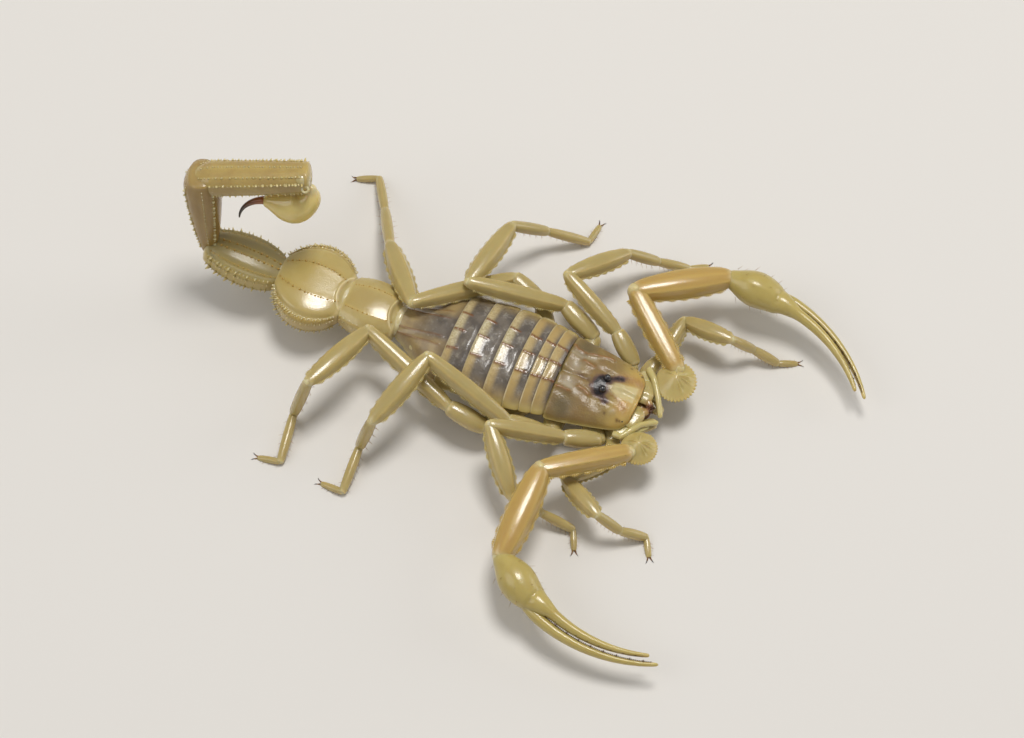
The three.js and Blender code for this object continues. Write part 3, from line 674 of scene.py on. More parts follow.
# %% How the legs stand
LEGS = {
    1: {
        "hip": (9.2, 5.2, 3.5), "lengths": (2.9, 6.2, 6.8, 3.9, 3.8, 2.5), "girth": 0.86,
        RIGHT: ((77, 6), (132, 5), (32, 8), (-6, -41), (-24, -31), (61, -9)),
        LEFT: ((68, 6), (82, 7), (-7, 8), (26, -44), (6, -30), (27, -11)),
    },
    2: {
        "hip": (7.5, 5.9, 4.2), "lengths": (4.4, 9.7, 9.3, 4.8, 4.5, 2.6), "girth": 0.95,
        RIGHT: ((154, 16), (158, 18), (50, -18), (-13, -39), (-2, -21), (66, -10)),
        LEFT: ((141, 20), (154, 14), (53, -14), (30, -36), (25, -27), (36, -12)),
    },
    3: {
        "hip": (1.5, 7.6, 4.2), "lengths": (5.3, 12.8, 10.7, 6.1, 6.3, 3.0), "girth": 1,
        RIGHT: ((171, 14), (-169, 22), (108, -12), (151, -74), (87, -11), (-174, -11)),
        LEFT: ((156, 16), (-164, 16), (82, -7), (42, -39), (26, -30), (84, -9)),
    },
    4: {
        "hip": (-6.3, 9.6, 4.2), "lengths": (4.9, 14.3, 10.9, 7.6, 6.7, 2.9), "girth": 1,
        RIGHT: ((-177, 16), (-159, 10), (109, 6), (151, -74), (81, -8), (174, -11)),
        LEFT: ((162, 16), (-134, 13), (129, -13), (119, -24), (121, -18), (-163, -12)),
    },
}


def both_sides(at, *rest):
    """A keel and its mirror image on the other side of the limb."""
    return (at, *rest), (math.copysign(180, at) - at, *rest)


# Keels: angle round the section, height, spread, teeth, tooth size.
LEG_SHAPES = {
    "trochanter": {"width": 2.5, "depth": 2.3, "waist": 0.8, "keels": both_sides(-40, 0.03, 10, 0, 0)},
    "femur": {
        "width": 2.2, "depth": 2.3, "waist": 0.72,
        "keels": (*both_sides(-15, 0.09, 11, 46, 0.3), *both_sides(50, 0.05, 9, 34, 0.13)),
    },
    "patella": {
        "width": 2.6, "depth": 2.3, "waist": 0.56,
        "keels": (*both_sides(-15, 0.1, 11, 44, 0.3), *both_sides(50, 0.04, 9, 30, 0.13)),
    },
    "tibia": {
        "width": 1.5, "depth": 1.5, "waist": 0.84, "keels": both_sides(-20, 0.05, 12, 0, 0),
        "keel_tint": 0.3,
    },
    "basitarsus": {
        "width": 1.25, "depth": 1.25, "waist": 0.78, "keels": ((90, 0.04, 14, 0, 0),), "keel_tint": 0.2,
    },
    "telotarsus": {"width": 0.85, "depth": 0.9, "waist": 0.8, "keels": (), "joint_tint": 0.2},
}
LEG_LENGTHS = tuple(LEG_SHAPES)
LEG_HAIRS = {  # how many, and how long
    "patella": (12, 0.5), "tibia": (22, 0.6), "basitarsus": (26, 0.5), "telotarsus": (18, 0.38),
}
LEG_NODES = {"tibia": "foot", "basitarsus": None, "telotarsus": None}  # one solid holds the last three
CLAW_HOOK = math.radians(78)


def walk(start, side, lengths, pose):
    """The joints of a limb and the way of each length, from its root outward."""
    joints, ways = [start], [direction(side, *turn) for turn in pose]
    for way, length in zip(ways, lengths):
        joints.append(joints[-1] + way * length)
    return joints, ways


def widened(shape, factor):
    return {**shape, "width": shape["width"] * factor, "depth": shape["depth"] * factor}


# %% Hairs round a limb length
def hairs_on(length, shape, count, reach, seed, lean=0.5, low_only=True):
    """Roots and ways of hairs, spread over a limb length by the golden angle."""
    feet, ways = [], []
    for i in range(count):
        t = 0.06 + 0.88 * (i + 0.5) / count
        angle = (seed + i * 2.39996) % (2 * math.pi)
        if low_only:
            angle = math.pi * (1.0 + (angle / (2 * math.pi)))
        girth = float(swelling(t, shape["waist"], shape.get("peak", 1.0)))
        out = np.array([math.cos(angle) * shape["width"], 0, math.sin(angle) * shape["depth"]]) / 2
        feet.append(out * girth * 0.96 + np.array([0, t * length, 0]))
        ways.append(out / np.linalg.norm(out) + np.array([0, lean, 0]))
    return feet, ways, [reach * (0.7 + 0.6 * abs(math.sin(5.1 * i + seed))) for i in range(count)]


# %% Claws: a cone drawn out along a curve
def bend_onto(piece, path, backs=None):
    """Moves a straight piece, drawn along Y from 0 to 1, onto a path of points."""
    path = np.array(path, float)
    steps = np.linalg.norm(np.diff(path, axis=0), axis=1)
    at = np.concatenate([[0], np.cumsum(steps)]) / steps.sum()
    tangents = np.gradient(path, at, axis=0)
    tangents /= np.linalg.norm(tangents, axis=1)[:, None]
    points = points_of(piece)
    t = np.clip(points[:, 1], 0, 1)
    middle = np.stack([np.interp(t, at, path[:, k]) for k in range(3)], axis=1)
    along = np.stack([np.interp(t, at, tangents[:, k]) for k in range(3)], axis=1)
    along /= np.linalg.norm(along, axis=1)[:, None]
    back = np.tile(np.array([0, 0, 1.0] if backs is None else backs, float), (len(t), 1))
    across = np.cross(along, back)
    across /= np.linalg.norm(across, axis=1)[:, None]
    up = np.cross(across, along)
    over = (points[:, 1] - t)[:, None] * along * steps.sum()
    move_points(piece, middle + over + across * points[:, :1] + up * points[:, 2:3])
    return piece


def horn(name, path, root, tip, sides=8, levels=1, backs=None):
    """A slim curved cone along a path: claws, comb teeth, the sting."""
    stations = [(-0.02, root * 0.9, root * 0.9, 0)]
    for t in (0, 0.15, 0.3, 0.45, 0.6, 0.75, 0.88, 0.97):
        radius = root + (tip - root) * t**0.9
        stations.append((t, radius, radius, 0))
    stations.append((1.0, tip * 0.5, tip * 0.5, 0))
    piece = drawn_blank(name, stations, sides, levels)
    mark(piece, along=np.clip(points_of(piece)[:, 1], 0, 1))
    return bend_onto(piece, path, backs)


def claw_pair(name, end, way):
    """Two claws at the tip of a foot, spread and hooked down."""
    claws = []
    for spread in (-1, 1):
        path = []
        for i in range(9):
            t = i / 8
            turn = CLAW_HOOK * t
            drop = 0.62 * (1 - math.cos(turn))
            path.append((spread * (0.1 + 0.42 * t), 0.95 * math.sin(turn), 0.12 - drop))
        claws.append(horn(f"{name}_{spread}", path, 0.14, 0.035))
    return settle(joined(name, claws), frame_along(end, way), claw_finish, "pale_limb")


# %% Build one leg
def build_leg(number, side):
    spec = LEGS[number]
    name = f"leg_{number}_{side_name(side)}"
    joints, ways = walk(place(*spec["hip"], side), side, spec["lengths"], spec[side])
    hair_parts = []
    for i, part in enumerate(LEG_LENGTHS):
        girth = spec["girth"] if i < 4 else 1
        shape, length = widened(LEG_SHAPES[part], girth), spec["lengths"][i]
        local = frame_along(joints[i], ways[i])
        shell = limb_shell(f"{name}_{part}_shell", length, shape, stations=7, sides=12 if i > 2 else 16)
        parts = [shell]
        if any(keel[3] for keel in shape["keels"]):
            parts.append(keel_teeth(f"{name}_{part}_teeth", length, shape))
        node = LEG_NODES.get(part, part)
        nodes = [f"{name}_{node}"] if node else []
        settle(joined(f"{name}_{part}_shell", parts), local, leg_finish, "pale_limb", *nodes)
        if part in LEG_HAIRS:
            count, reach = LEG_HAIRS[part]
            feet, hair_ways, lengths = hairs_on(length, shape, count, reach, seed=number + 2.0 * i + side)
            hairs = scattered(f"{name}_{part}_hairs", "bristle", feet, hair_ways, 0.028, lengths)
            hair_parts.append(settle(hairs, local, hair_finish, "pale_limb"))
        if i > 0:
            width = 0.5 * min(shape["width"] * shape["waist"], 2.0)
            joint_ball(f"{name}_{part}_joint", joints[i], width * 0.9)
    joined(f"{name}_hairs", hair_parts)
    claw_pair(f"{name}_claws", joints[-1], ways[-1])


for leg_number in LEGS:
    for leg_side in SIDES:
        build_leg(leg_number, leg_side)
print("legs: 8, of", len(LEG_LENGTHS), "lengths each")

# %% [markdown]
# ## The pincer arms
#
# A pincer arm, or pedipalp, starts at a flat round fan with a toothed rim, then has a femur, a
# swollen patella and a slim hand whose two long fingers close side by side in one bow. Femur and
# patella are honey orange with toothed keels, the hand is paler and smooth. Dark denticles run in
# a row along the edges where the fingers meet.

# %% How the arms are held
PALP_LENGTHS = (11.5, 12.3, 7.6)
PALP_ROOT = (11.2, 4.2, 5.4)
PALPS = {
    RIGHT: {"fan": 45, "fan_size": (4.5, 4.5, 0.0, 1.4), "pose": ((140, 10), (91, -7), (34, -6))},
    LEFT: {"fan": 16, "fan_size": (5.0, 5.5, 0.3, 0.2), "pose": ((139, 10), (36, -7), (0, -7))},
}
PALP_FEMUR = {
    "width": 2.7, "depth": 2.6, "waist": 0.8, "power": 2.6,
    "keels": (
        *both_sides(-12, 0.08, 10, 38, 0.4), *both_sides(52, 0.07, 9, 36, 0.2),
        (90, 0.0, 9, 22, 0.12), (-90, 0.04, 12, 20, 0.14),
    ),
}
PALP_PATELLA = {
    "width": 3.7, "depth": 3.4, "waist": 0.66, "peak": 1.1, "power": 2.4,
    "keels": (
        *both_sides(-12, 0.055, 9, 42, 0.34), *both_sides(42, 0.045, 8, 36, 0.17),
        (90, 0.0, 9, 24, 0.1), *both_sides(-60, 0.03, 10, 20, 0.12),
    ),
}
PALM = {
    "width": 4.7, "depth": 4.4, "waist": 0.5, "peak": 0.9, "power": 2.05, "joint_tint": 0.3,
    "keels": ((80, 0.012, 9, 0, 0), (35, 0.012, 9, 0, 0), (140, 0.012, 9, 0, 0)), "keel_tint": 0.3,
}
WRIST = PALP_LENGTHS[2] - 0.6
FIXED_FINGER, MOVABLE_FINGER = 15.8, 17.0
FINGER = {"width": 1.66, "tip": 0.5, "start": 6, "end": 55, "gap": 0.1, "drop": 30}


# %% The fan at the root of an arm
def fan_shell(name, size):
    """A lens with a crinkled, toothed rim."""
    length, width, ahead, first_crease = size
    depth, teeth = 3.0, 36
    middle = 0.42 * 4.9  # how far a fan's middle lies from the root of the arm
    fan = new_piece(name, bpy.ops.mesh.primitive_uv_sphere_add, segments=6 * teeth, ring_count=36, radius=1)
    x, y, z = points_of(fan).T
    reach = np.hypot(x, y)
    turn = np.arctan2(y, x)
    lens = np.sign(z) * np.abs(z) ** 1.25
    toothed = fade(np.sin(turn), -0.75, -0.45)
    notch = (turn * teeth / (2 * math.pi)) % 1
    saw = 1 + 0.085 * toothed * bump(reach, 1, 0.09) * (1 - np.abs(2 * notch - 1)) ** 0.8
    creases = 1 + 0.03 * np.cos(turn * teeth) * bump(reach, 0.88, 0.08)
    for at, deep in ((0.3, 0.3), (1.15, 0.42), (1.65, 0.26), (2.7, 0.34), (3.9, 0.2)):
        creases += deep * bump(turn_gap(turn, first_crease + at), 0, 0.09) * bump(reach, 0.5, 0.25)
        creases -= 0.5 * deep * bump(turn_gap(turn, first_crease + at + 0.2), 0, 0.1) * bump(reach, 0.5, 0.25)
    collar = 1 + 0.12 * bump(reach, 0.45, 0.1) * 0.4
    points = np.stack([
        width / 2 * x * saw, ahead + middle + length / 2 * y * saw,
        depth / 2 * lens * creases * collar * (0.5 + 0.5 * bump(reach, 0.0, 0.45)),
    ], axis=1)
    move_points(fan, points)
    mark(fan, keel=0.8 * toothed * bump(reach, 1, 0.1), joint=0.25 * bump(reach, 0.1, 0.3), along=reach)
    return fan


# %% The line of the closed fingers
def finger_turn(t):
    return math.radians(FINGER["start"] + (FINGER["end"] - FINGER["start"]) * t)


def across_fingers(t, offset, side):
    """A step across the fingers, along the sloping plane in which they lie."""
    turn, drop = finger_turn(t), math.radians(FINGER["drop"])
    return offset * math.cos(drop) * np.array([-side * math.cos(turn), math.sin(turn), -math.tan(drop)])


def finger_point(along, offset, length, side):
    point = np.array([0.0, WRIST, 0.0])
    steps = 12
    for i in range(steps):
        turn = finger_turn(along * (i + 0.5) / steps)
        point += along * length / steps * np.array([side * math.sin(turn), math.cos(turn), 0])
    return point + across_fingers(along, offset, side)


def finger_half(t):
    return (FINGER["width"] + (FINGER["tip"] - FINGER["width"]) * t**1.05) / 2


def finger_shell(name, side, edge, length):
    """The movable finger, from its knuckle at the palm to its slightly hooked tip."""
    count = 17
    stations, path = [], []
    for i in range(count):
        t = i / (count - 1)
        half = finger_half(t)
        knuckle = 1 - 0.22 * float(bump(t, 0.0, 0.05))
        path.append(finger_point(t, edge * (half + FINGER["gap"] / 2), length, side))
        stations.append((t, half * knuckle, 1.15 * half * knuckle, 0.0))
    tip = [(1.008, 0.16, 0.18, 0), (1.014, 0.07, 0.08, 0)]
    stations = [(-0.04, 0.3, 0.4, 0), (-0.03, 0.6, 0.7, 0)] + stations + tip
    piece = drawn_blank(name, stations, 14)
    y = points_of(piece)[:, 1]
    mark(piece, joint=0.3 * (1 - fade(y, 0, 0.08)), keel=0.5 * fade(y, 0.9, 1.0), along=y)
    return bend_onto(piece, path)


# %% The palm with the fixed finger, in one shell
PALM_STATIONS = (  # distance from the wrist, width, depth
    (0.0, 2.3, 2.2), (0.9, 2.9, 2.8), (2.0, 4.0, 3.8), (3.2, 4.75, 4.4), (4.4, 4.75, 4.35),
    (5.5, 4.35, 3.9), (6.5, 3.75, 3.3), (7.4, 3.1, 2.8), (8.4, 2.45, 2.45), (9.6, 2.05, 2.2),
)


def hand_shell(name, side, length):
    """The palm narrows into the fixed finger without a joint, so both are one drawn shape."""
    reach = WRIST + length
    at, wide, deep = np.array(PALM_STATIONS).T
    count = 34
    stations, path = [], []
    for i in range(count):
        s = reach * i / (count - 1)
        t = max(0.0, (s - WRIST) / length)
        half = finger_half(t)
        finger_center = finger_point(t, -(half + FINGER["gap"] / 2), length, side)
        if s < WRIST:
            finger_center = np.array([side * (half + FINGER["gap"] / 2), s, 0.0])
        share = float(fade(np.array(s), 4.2, 9.8))
        path.append((1 - share) * np.array([0, min(s, finger_center[1]), 0]) + share * finger_center)
        palm_half, palm_depth = np.interp(s, at, wide) / 2, np.interp(s, at, deep) / 2
        to_finger = float(fade(np.array(s), 8.6, 10.2))
        w = (1 - to_finger) * palm_half + to_finger * half
        d = (1 - to_finger) * palm_depth + to_finger * 1.15 * half
        stations.append((i / (count - 1), w, d, 0.0))
    tip = [(1.005, 0.17, 0.19, 0), (1.009, 0.07, 0.08, 0)]
    stations = [(-0.018, 0.5, 0.5, 0), (-0.012, 0.9, 0.85, 0)] + stations + tip
    piece = drawn_blank(name, stations, 22)
    x, y, z = points_of(piece).T
    s = y * reach
    ridge = bump(np.arctan2(z, x), math.radians(75), 0.2) * fade(s, 0.5, 2) * (1 - fade(s, 6, 8))
    move_points(piece, np.stack([x * (1 + 0.02 * ridge), y, z * (1 + 0.02 * ridge)], axis=1))
    core = 0.4 * fade(s, 1, 3) * (1 - fade(s, 6, 9))
    mark(piece, joint=0.5 * (1 - fade(s, 0, 0.8)), keel=0.5 * fade(y, 0.95, 1.0), along=y, core=core)
    return bend_onto(piece, path)


def denticle_row(name, side, length, edge):
    """Dark denticles on the edge of one finger that faces the other, with bigger ones between."""
    feet, ways, radii, heights = [], [], [], []
    count = 64
    for i in range(count):
        t = 0.1 + 0.86 * i / (count - 1)
        inward = across_fingers(t, -edge, side)
        large = i % 7 == 3
        for lift, size in ((0.42, 1.0), (0.1, 0.7)):
            half = finger_half(t)
            foot = finger_point(t, edge * (FINGER["gap"] / 2 + 0.2 * half), length, side)
            feet.append(foot + np.array([0, 0, lift]) * half * 1.5)
            ways.append(inward * 0.5 + np.array([0, 0, 0.9]))
            radii.append((0.13 if large else 0.08) * size)
            heights.append((0.26 if large else 0.16) * size)
    return scattered(name, "grain", feet, ways, radii, heights)


# %% Build one arm
def build_arm(side):
    name = f"pedipalp_{side_name(side)}"
    spec = PALPS[side]
    root = place(*PALP_ROOT, side)
    fan_local = frame_along(root, direction(side, spec["fan"], 0))
    fan = fan_shell(f"{name}_fan_shell", spec["fan_size"])
    settle(fan, fan_local, palp_fan_finish, "honey_shell", f"{name}_trochanter")
    start = root + direction(side, spec["fan"] + 32, 10) * 2.9
    joints, ways = walk(start, side, PALP_LENGTHS, spec["pose"])
    frames = [frame_along(joint, way) for joint, way in zip(joints, ways)]

    for i, (part, shape) in enumerate((("femur", PALP_FEMUR), ("patella", PALP_PATELLA))):
        shell = limb_shell(f"{name}_{part}_shell", PALP_LENGTHS[i], shape, stations=9, sides=24)
        teeth = keel_teeth(f"{name}_{part}_teeth", PALP_LENGTHS[i], shape)
        toothed = joined(f"{name}_{part}_shell", [shell, teeth])
        settle(toothed, frames[i], palp_finish, "honey_shell", f"{name}_{part}")
        joint_ball(f"{name}_{part}_joint", joints[i], 0.5 * shape["width"] * shape["waist"] * 0.88)

    hand = hand_shell(f"{name}_hand_shell", side, FIXED_FINGER)
    settle(hand, frames[2], hand_finish, "pale_limb", f"{name}_hand")
    moving = finger_shell(f"{name}_movable_finger_shell", side, 1, MOVABLE_FINGER)
    settle(moving, frames[2], hand_finish, "pale_limb", f"{name}_movable_finger")
    joint_ball(f"{name}_hand_joint", joints[2], 0.5 * PALM["width"] * PALM["waist"] * 0.86)
    rows = [
        denticle_row(f"{name}_row_{edge}", side, length, edge)
        for edge, length in ((-1, FIXED_FINGER), (1, MOVABLE_FINGER))
    ]
    settle(joined(f"{name}_denticles", rows), frames[2], denticle_finish, "pale_limb")

    feet, hair_ways, lengths = hairs_on(PALP_LENGTHS[2], PALM, 26, 0.7, 1.3 + side, lean=0.6, low_only=False)
    hairs = scattered(f"{name}_hairs", "bristle", feet, hair_ways, 0.03, lengths)
    settle(hairs, frames[2], hair_finish, "pale_limb")


palp_fan_finish = shell_finish(
    "honey fan", (0.5, 0.4, 0.14), (0.45, 0.34, 0.12), (0.58, 0.45, 0.16), CREAM, 0.28,
)
for arm_side in SIDES:
    build_arm(arm_side)
print("pincer arms: 2, hand and movable finger", PALP_LENGTHS[2] + MOVABLE_FINGER, "mm long")

# %% [markdown]
# ## The carapace
#
# The carapace is one thin domed shield over the head. It is modelled as a flat grid whose rows
# are carried over the dome: across, the grid becomes an angle round the section, and along, a
# distance from the front edge. Then the relief is raised: a low mound between the eyes, a furrow
# behind it, two long keels curved like a lyre and two short ones inside them, and hollows between.
# Solidify gives the shield its thickness. The painted marks follow the same lines as the relief,
# so each is written on the points as a number that the finish reads.

# %% Lines on a shell and how far each point is from them
def line_gap(points, line):
    """How far each (forward, left) point is from a broken line, in millimetres."""
    gap = np.full(len(points), 1e9)
    for a, b in zip(line, line[1:]):
        a, b = np.array(a, float), np.array(b, float)
        run = b - a
        t = np.clip(((points - a) @ run) / (run @ run), 0, 1)
        gap = np.minimum(gap, np.linalg.norm(points - (a + t[:, None] * run), axis=1))
    return gap


def sheet_grid(name, columns, rows):
    """A flat grid from -1 to 1 across (X) and 0 to 1 along (Y)."""
    piece = new_piece(
        name, bpy.ops.mesh.primitive_grid_add, x_subdivisions=columns, y_subdivisions=rows,
        size=2, location=(0, 0, 0),
    )
    points = points_of(piece)
    points[:, 1] = (points[:, 1] + 1) / 2
    move_points(piece, points)
    return piece


def thickened(piece, thickness, out=1):
    """Turns a sheet's faces out of the body, up (1) or down (-1), and gives it a wall inward."""
    faces = piece.data.polygons
    if faces[len(faces) // 2].normal.z * out < 0:
        piece.data.flip_normals()
    wall = piece.modifiers.new("wall", "SOLIDIFY")
    wall.thickness = thickness
    wall.offset = -1
    wall.use_even_offset = False  # even offset throws long spikes out of the sharp front corners
    finish_modifier(piece, wall.name)


def power_arc(angle, power):
    """The point of a superellipse at an angle, for radii of 1."""
    c, s = np.cos(angle), np.sin(angle)
    return np.sign(c) * np.abs(c) ** (2 / power), np.sign(s) * np.abs(s) ** (2 / power)


# %% The dome of the carapace
CARAPACE = {"length": 10.5, "rear": 12.4, "front": 6.6, "edge": 5.3, "top": 7.7, "wall": 0.28}
EYES = {"forward": 5.9, "outward": 0.85, "height": 7.75, "diameter": 0.95}


def carapace_half_width(a):
    taper = CARAPACE["front"] + (CARAPACE["rear"] - CARAPACE["front"]) * np.sqrt(np.clip(a, 0, 1))
    corner = 1 - 0.16 * np.clip(1 - a / 0.09, 0, 1) ** 2 - 0.05 * np.clip(1 - (1 - a) / 0.05, 0, 1) ** 2
    return taper / 2 * corner


LYRE = {
    LEFT: ((0.3, 4.0), (0.9, 3.6), (2.4, 3.4), (3.6, 3.7), (4.6, 4.0), (5.6, 4.0)),
    RIGHT: ((0.3, -2.5), (0.9, -2.4), (2.1, -2.5)),
}
INNER_KEEL = {
    LEFT: ((2.3, 2.2), (3.1, 2.0), (3.7, 1.9)),
    RIGHT: ((3.0, -1.5), (3.8, -1.7), (4.5, -2.0)),
}
WEDGE_RIDGE = ((6.9, 0.2), (8.3, 0.5), (9.7, 0.3))

carapace = sheet_grid("carapace_shell", 150, 170)
u, a, _ = points_of(carapace).T  # u runs across from edge to edge, a from the front to the rear
crest = CARAPACE["top"] - 0.9 * (1 - a) ** 1.6
arc_x, arc_z = power_arc(math.pi / 2 * (1 - u), 2.3)
low_ends = 1 - 0.18 * np.clip(1 - a / 0.06, 0, 1) ** 2 - 0.1 * np.clip(1 - (1 - a) / 0.04, 0, 1) ** 2
rise = (crest - CARAPACE["edge"]) * low_ends
left_of = carapace_half_width(a) * arc_x
bow = 0.3 * (left_of / 3.3) ** 2  # the front edge is bowed
near_front = np.clip(1 - a / 0.2, 0, 1)
forward = CARAPACE["length"] * (1 - a) - (bow + 0.06 * bump(left_of, 0, 0.3)) * near_front
height = CARAPACE["edge"] + rise * arc_z
plan = np.stack([forward, left_of], axis=1)


def blot(at_forward, at_left, reach, long=1.0, wide=1.0):
    """A soft round or oval patch on the carapace: 1 at its middle."""
    return bump(np.hypot((forward - at_forward) / long, (left_of - at_left) / wide), 0, reach)


lyre = np.minimum(line_gap(plan, LYRE[LEFT]), line_gap(plan, LYRE[RIGHT]))
inner_keels = np.minimum(line_gap(plan, INNER_KEEL[LEFT]), line_gap(plan, INNER_KEEL[RIGHT]))
furrow = bump(left_of, 0, 0.35) * (1 - fade(forward, 3.4, 4.6))
front_furrow = bump(left_of, 0, 0.45) * fade(forward, 7.0, 8.5)
hollows = bump(np.hypot(forward - 1.9, (np.abs(left_of) - 4.5) * 0.8), 0, 1.3)
saddle = bump(np.hypot(forward - 1.6, np.abs(left_of) - 1.2), 0, 0.9)
height += 0.24 * bump(lyre, 0, 0.3) + 0.2 * bump(inner_keels, 0, 0.28) + 0.36 * blot(5.7, 0, 0.9, 1.9, 1.5)
height -= 0.35 * furrow + 0.15 * front_furrow + 0.3 * hollows + 0.25 * saddle
height -= 0.28 * bump(np.abs(left_of), 1.75, 0.5) * bump(forward, 5.9, 1.5)
waves = np.sin(2.1 * forward + 1.3 * left_of) * np.sin(1.7 * left_of - 0.6 * forward)
height += 0.07 * waves * (np.abs(u) < 0.9)
front_gap = CARAPACE["length"] - bow - forward
height += 0.1 * bump(front_gap, 0.1, 0.12) + 0.14 * bump(line_gap(plan, WEDGE_RIDGE), 0, 0.22)
height += 0.25 * blot(8.1, -2.8, 0.55)
rim = bump(1 - np.abs(u), 0, 0.035)
move_points(carapace, np.stack([left_of * (1 + 0.012 * rim), -forward, height + 0.12 * rim], axis=1))

# %% Marks painted on the carapace
def smear(line, width, strength):
    """A soft stroke along a line on the carapace."""
    return strength * bump(line_gap(plan, line), 0, width)


soot = np.maximum.reduce([
    1.25 * blot(5.75, 0.75, 1, 0.85, 0.7),
    1.35 * blot(5.5, -0.85, 1, 0.9, 0.85),
    1.4 * blot(5.3, -0.1, 1, 0.85, 1.1),
    smear(((5.6, -0.6), (4.6, -0.8)), 0.6, 0.6),
    smear(((5.9, 0.9), (7.0, 1.5), (7.5, 1.7)), 0.5, 0.8),
    smear(((5.7, -1.2), (6.7, -2.0)), 0.55, 0.62),
    smear(((4.6, -0.4), (2.4, 0.3)), 0.5, 0.3),
    smear(((6.6, 1.4), (7.9, 1.9)), 0.8, 0.3),
])
brown_arm = np.maximum(
    smear(((7.0, 1.8), (9.4, 2.2), (10.0, 2.0)), 0.75, 0.75) * fade(forward, 6.4, 7.4),
    0.7 * blot(8.9, -2.0, 1, 0.9, 0.9),
)
wedge = (  # the cream patch between the eyes and the front edge
    fade(forward, 6.3, 7.3) * (1 - fade(forward, 9.75, 10.1))
    * (1 - fade(left_of - 0.7 - 0.205 * (forward - 6.1), -0.25, 0.1))
    * fade(left_of + np.minimum(0.3 + 0.375 * (forward - 6.3), 0.95), -0.1, 0.25)
)
SPOTS = ((7.2, -3.4, 0.2), (8.95, -3.6, 0.24), (9.25, -3.55, 0.18), (8.0, 3.9, 0.16), (9.6, 3.4, 0.18))
spots = np.maximum.reduce([blot(*spot) for spot in SPOTS])
mark(
    carapace,
    soot=np.clip(soot, 0, 1),
    cream=wedge * (1 - np.clip(1.3 * soot, 0, 1)),
    rust=np.clip(
        smear(LYRE[LEFT], 0.2, 1.2) + smear(LYRE[RIGHT], 0.2, 1.2)
        + smear(INNER_KEEL[LEFT], 0.24, 1.0) + smear(INNER_KEEL[RIGHT], 0.24, 1.0)
        + smear(((6.9, -0.9), (7.9, -1.1), (9.2, -1.9)), 0.13, 0.8), 0, 1),
    arm=brown_arm * (1 - wedge),
    gold=fade(forward, 6.5, 9.0),
    spots=np.clip(spots, 0, 1),
    ember=np.clip(
        bump(front_gap, 0.04, 0.09) + 0.55 * blot(8.9, -1.6, 0.9, 0.9, 0.85)
        + 0.35 * blot(8.4, 2.2, 0.9, 1.4, 0.7), 0, 1),
    border=np.clip(bump(1 - np.abs(u), 0, 0.1) + 0.5 * bump(1 - a, 0, 0.03), 0, 1),
    grey=(1 - fade(forward, 5.0, 9.5)) * (1 - bump(1 - np.abs(u), 0, 0.13)),
    window=np.clip(1.2 * hollows * (1 - bump(1 - np.abs(u), 0, 0.16)), 0, 1),
    # Whitish painted highlights: on two low saddles near the rear edge, along ridges beside the keels, on the
    # wedge's ridge, between the eyes and on the glossy blotch near the front.
    frost=np.clip(
        0.9 * saddle + smear(((0.6, 2.9), (2.0, 2.7), (3.4, 3.0)), 0.3, 0.7) + smear(WEDGE_RIDGE, 0.15, 0.8)
        + smear(((6.0, -0.1), (6.7, 0.1)), 0.16, 0.9) + smear(((1.2, -1.6), (2.9, -2.3)), 0.3, 0.6)
        + 0.8 * blot(8.1, -2.8, 0.4), 0, 1),
    along=a,
)
pick(carapace)
bpy.ops.object.mode_set(mode="EDIT")
bpy.ops.mesh.select_all(action="SELECT")
bpy.ops.mesh.normals_make_consistent(inside=False)
close_mesh()
thickened(carapace, CARAPACE["wall"])
print("carapace:", len(carapace.data.polygons), "faces")


# %% The finish of the carapace
def carapace_finish():
    recipe = Recipe("carapace chitin", 0.33, coat=0.05, soft=0.25)
    cloudy = recipe.span(recipe.noise(1.9, 4, 0.6), 0.38, 0.62)
    color = recipe.laid(recipe.mix(cloudy, (0.38, 0.29, 0.085), (0.33, 0.24, 0.07)), (
        ("gold", None, (0.53, 0.37, 0.11)),
        ("grey", recipe.span(recipe.noise(1.2, 3), 0.25, 0.6, 0.6, 0.95), (0.24, 0.155, 0.06)),
        ("window", 0.75, (0.13, 0.105, 0.055)),
        # Whitish painted highlights on the ridges, the saddles and the glossy blotch.
        ("frost", 0.6, (0.5, 0.45, 0.35)),
        ("border", 0.85, (0.56, 0.46, 0.19)),
        ("arm", recipe.span(recipe.noise(0.5, 3), 0.2, 0.6, 0.6, 1.0), (0.31, 0.16, 0.05)),
        ("cream", recipe.span(recipe.noise(0.9, 3), 0.2, 0.7, 0.75, 1.0), (0.6, 0.5, 0.26)),
        ("ember", recipe.span(recipe.grains(0.3), 0.5, 0.2, 0.3, 1.0), (0.6, 0.29, 0.06)),
        ("rust", recipe.span(recipe.grains(0.3), 0.55, 0.15, 0.5, 1.0), (0.26, 0.11, 0.025)),
        ("spots", 0.85, (0.12, 0.06, 0.02)),
    ))
    smoke = recipe.times(recipe.field("soot"), recipe.span(recipe.noise(0.6, 4), 0.25, 0.65, 0.75, 1.15))
    color = recipe.mix(recipe.span(smoke, 0.08, 0.5), color, (0.13, 0.075, 0.06))
    color = recipe.mix(recipe.span(smoke, 0.4, 0.85), color, (0.014, 0.011, 0.014))
    speck = recipe.span(recipe.grains(0.36), 0.14, 0.05)
    color = recipe.mix(recipe.times(speck, 0.35), color, (0.6, 0.48, 0.2))
    rough = recipe.relief(recipe.grains(0.22), 0.035, 0.6)
    return recipe.done(color, recipe.relief(recipe.noise(1.3, 3, 0.3), 0.06, 0.5, under=rough))


HOME = Matrix.Identity(4)
settle(carapace, HOME, carapace_finish(), "carapace_shell", "carapace")

# %% [markdown]
# ## Eyes
#
# Two big median eyes sit on the mound, glossy black domes, each in a thin dark ring. Three tiny
# lateral eyes stand at each front corner. An eye is an ico sphere with its lower half sunk into
# the shell and a faint rim round it, because a lens that stands out as a full ball looks wrong.

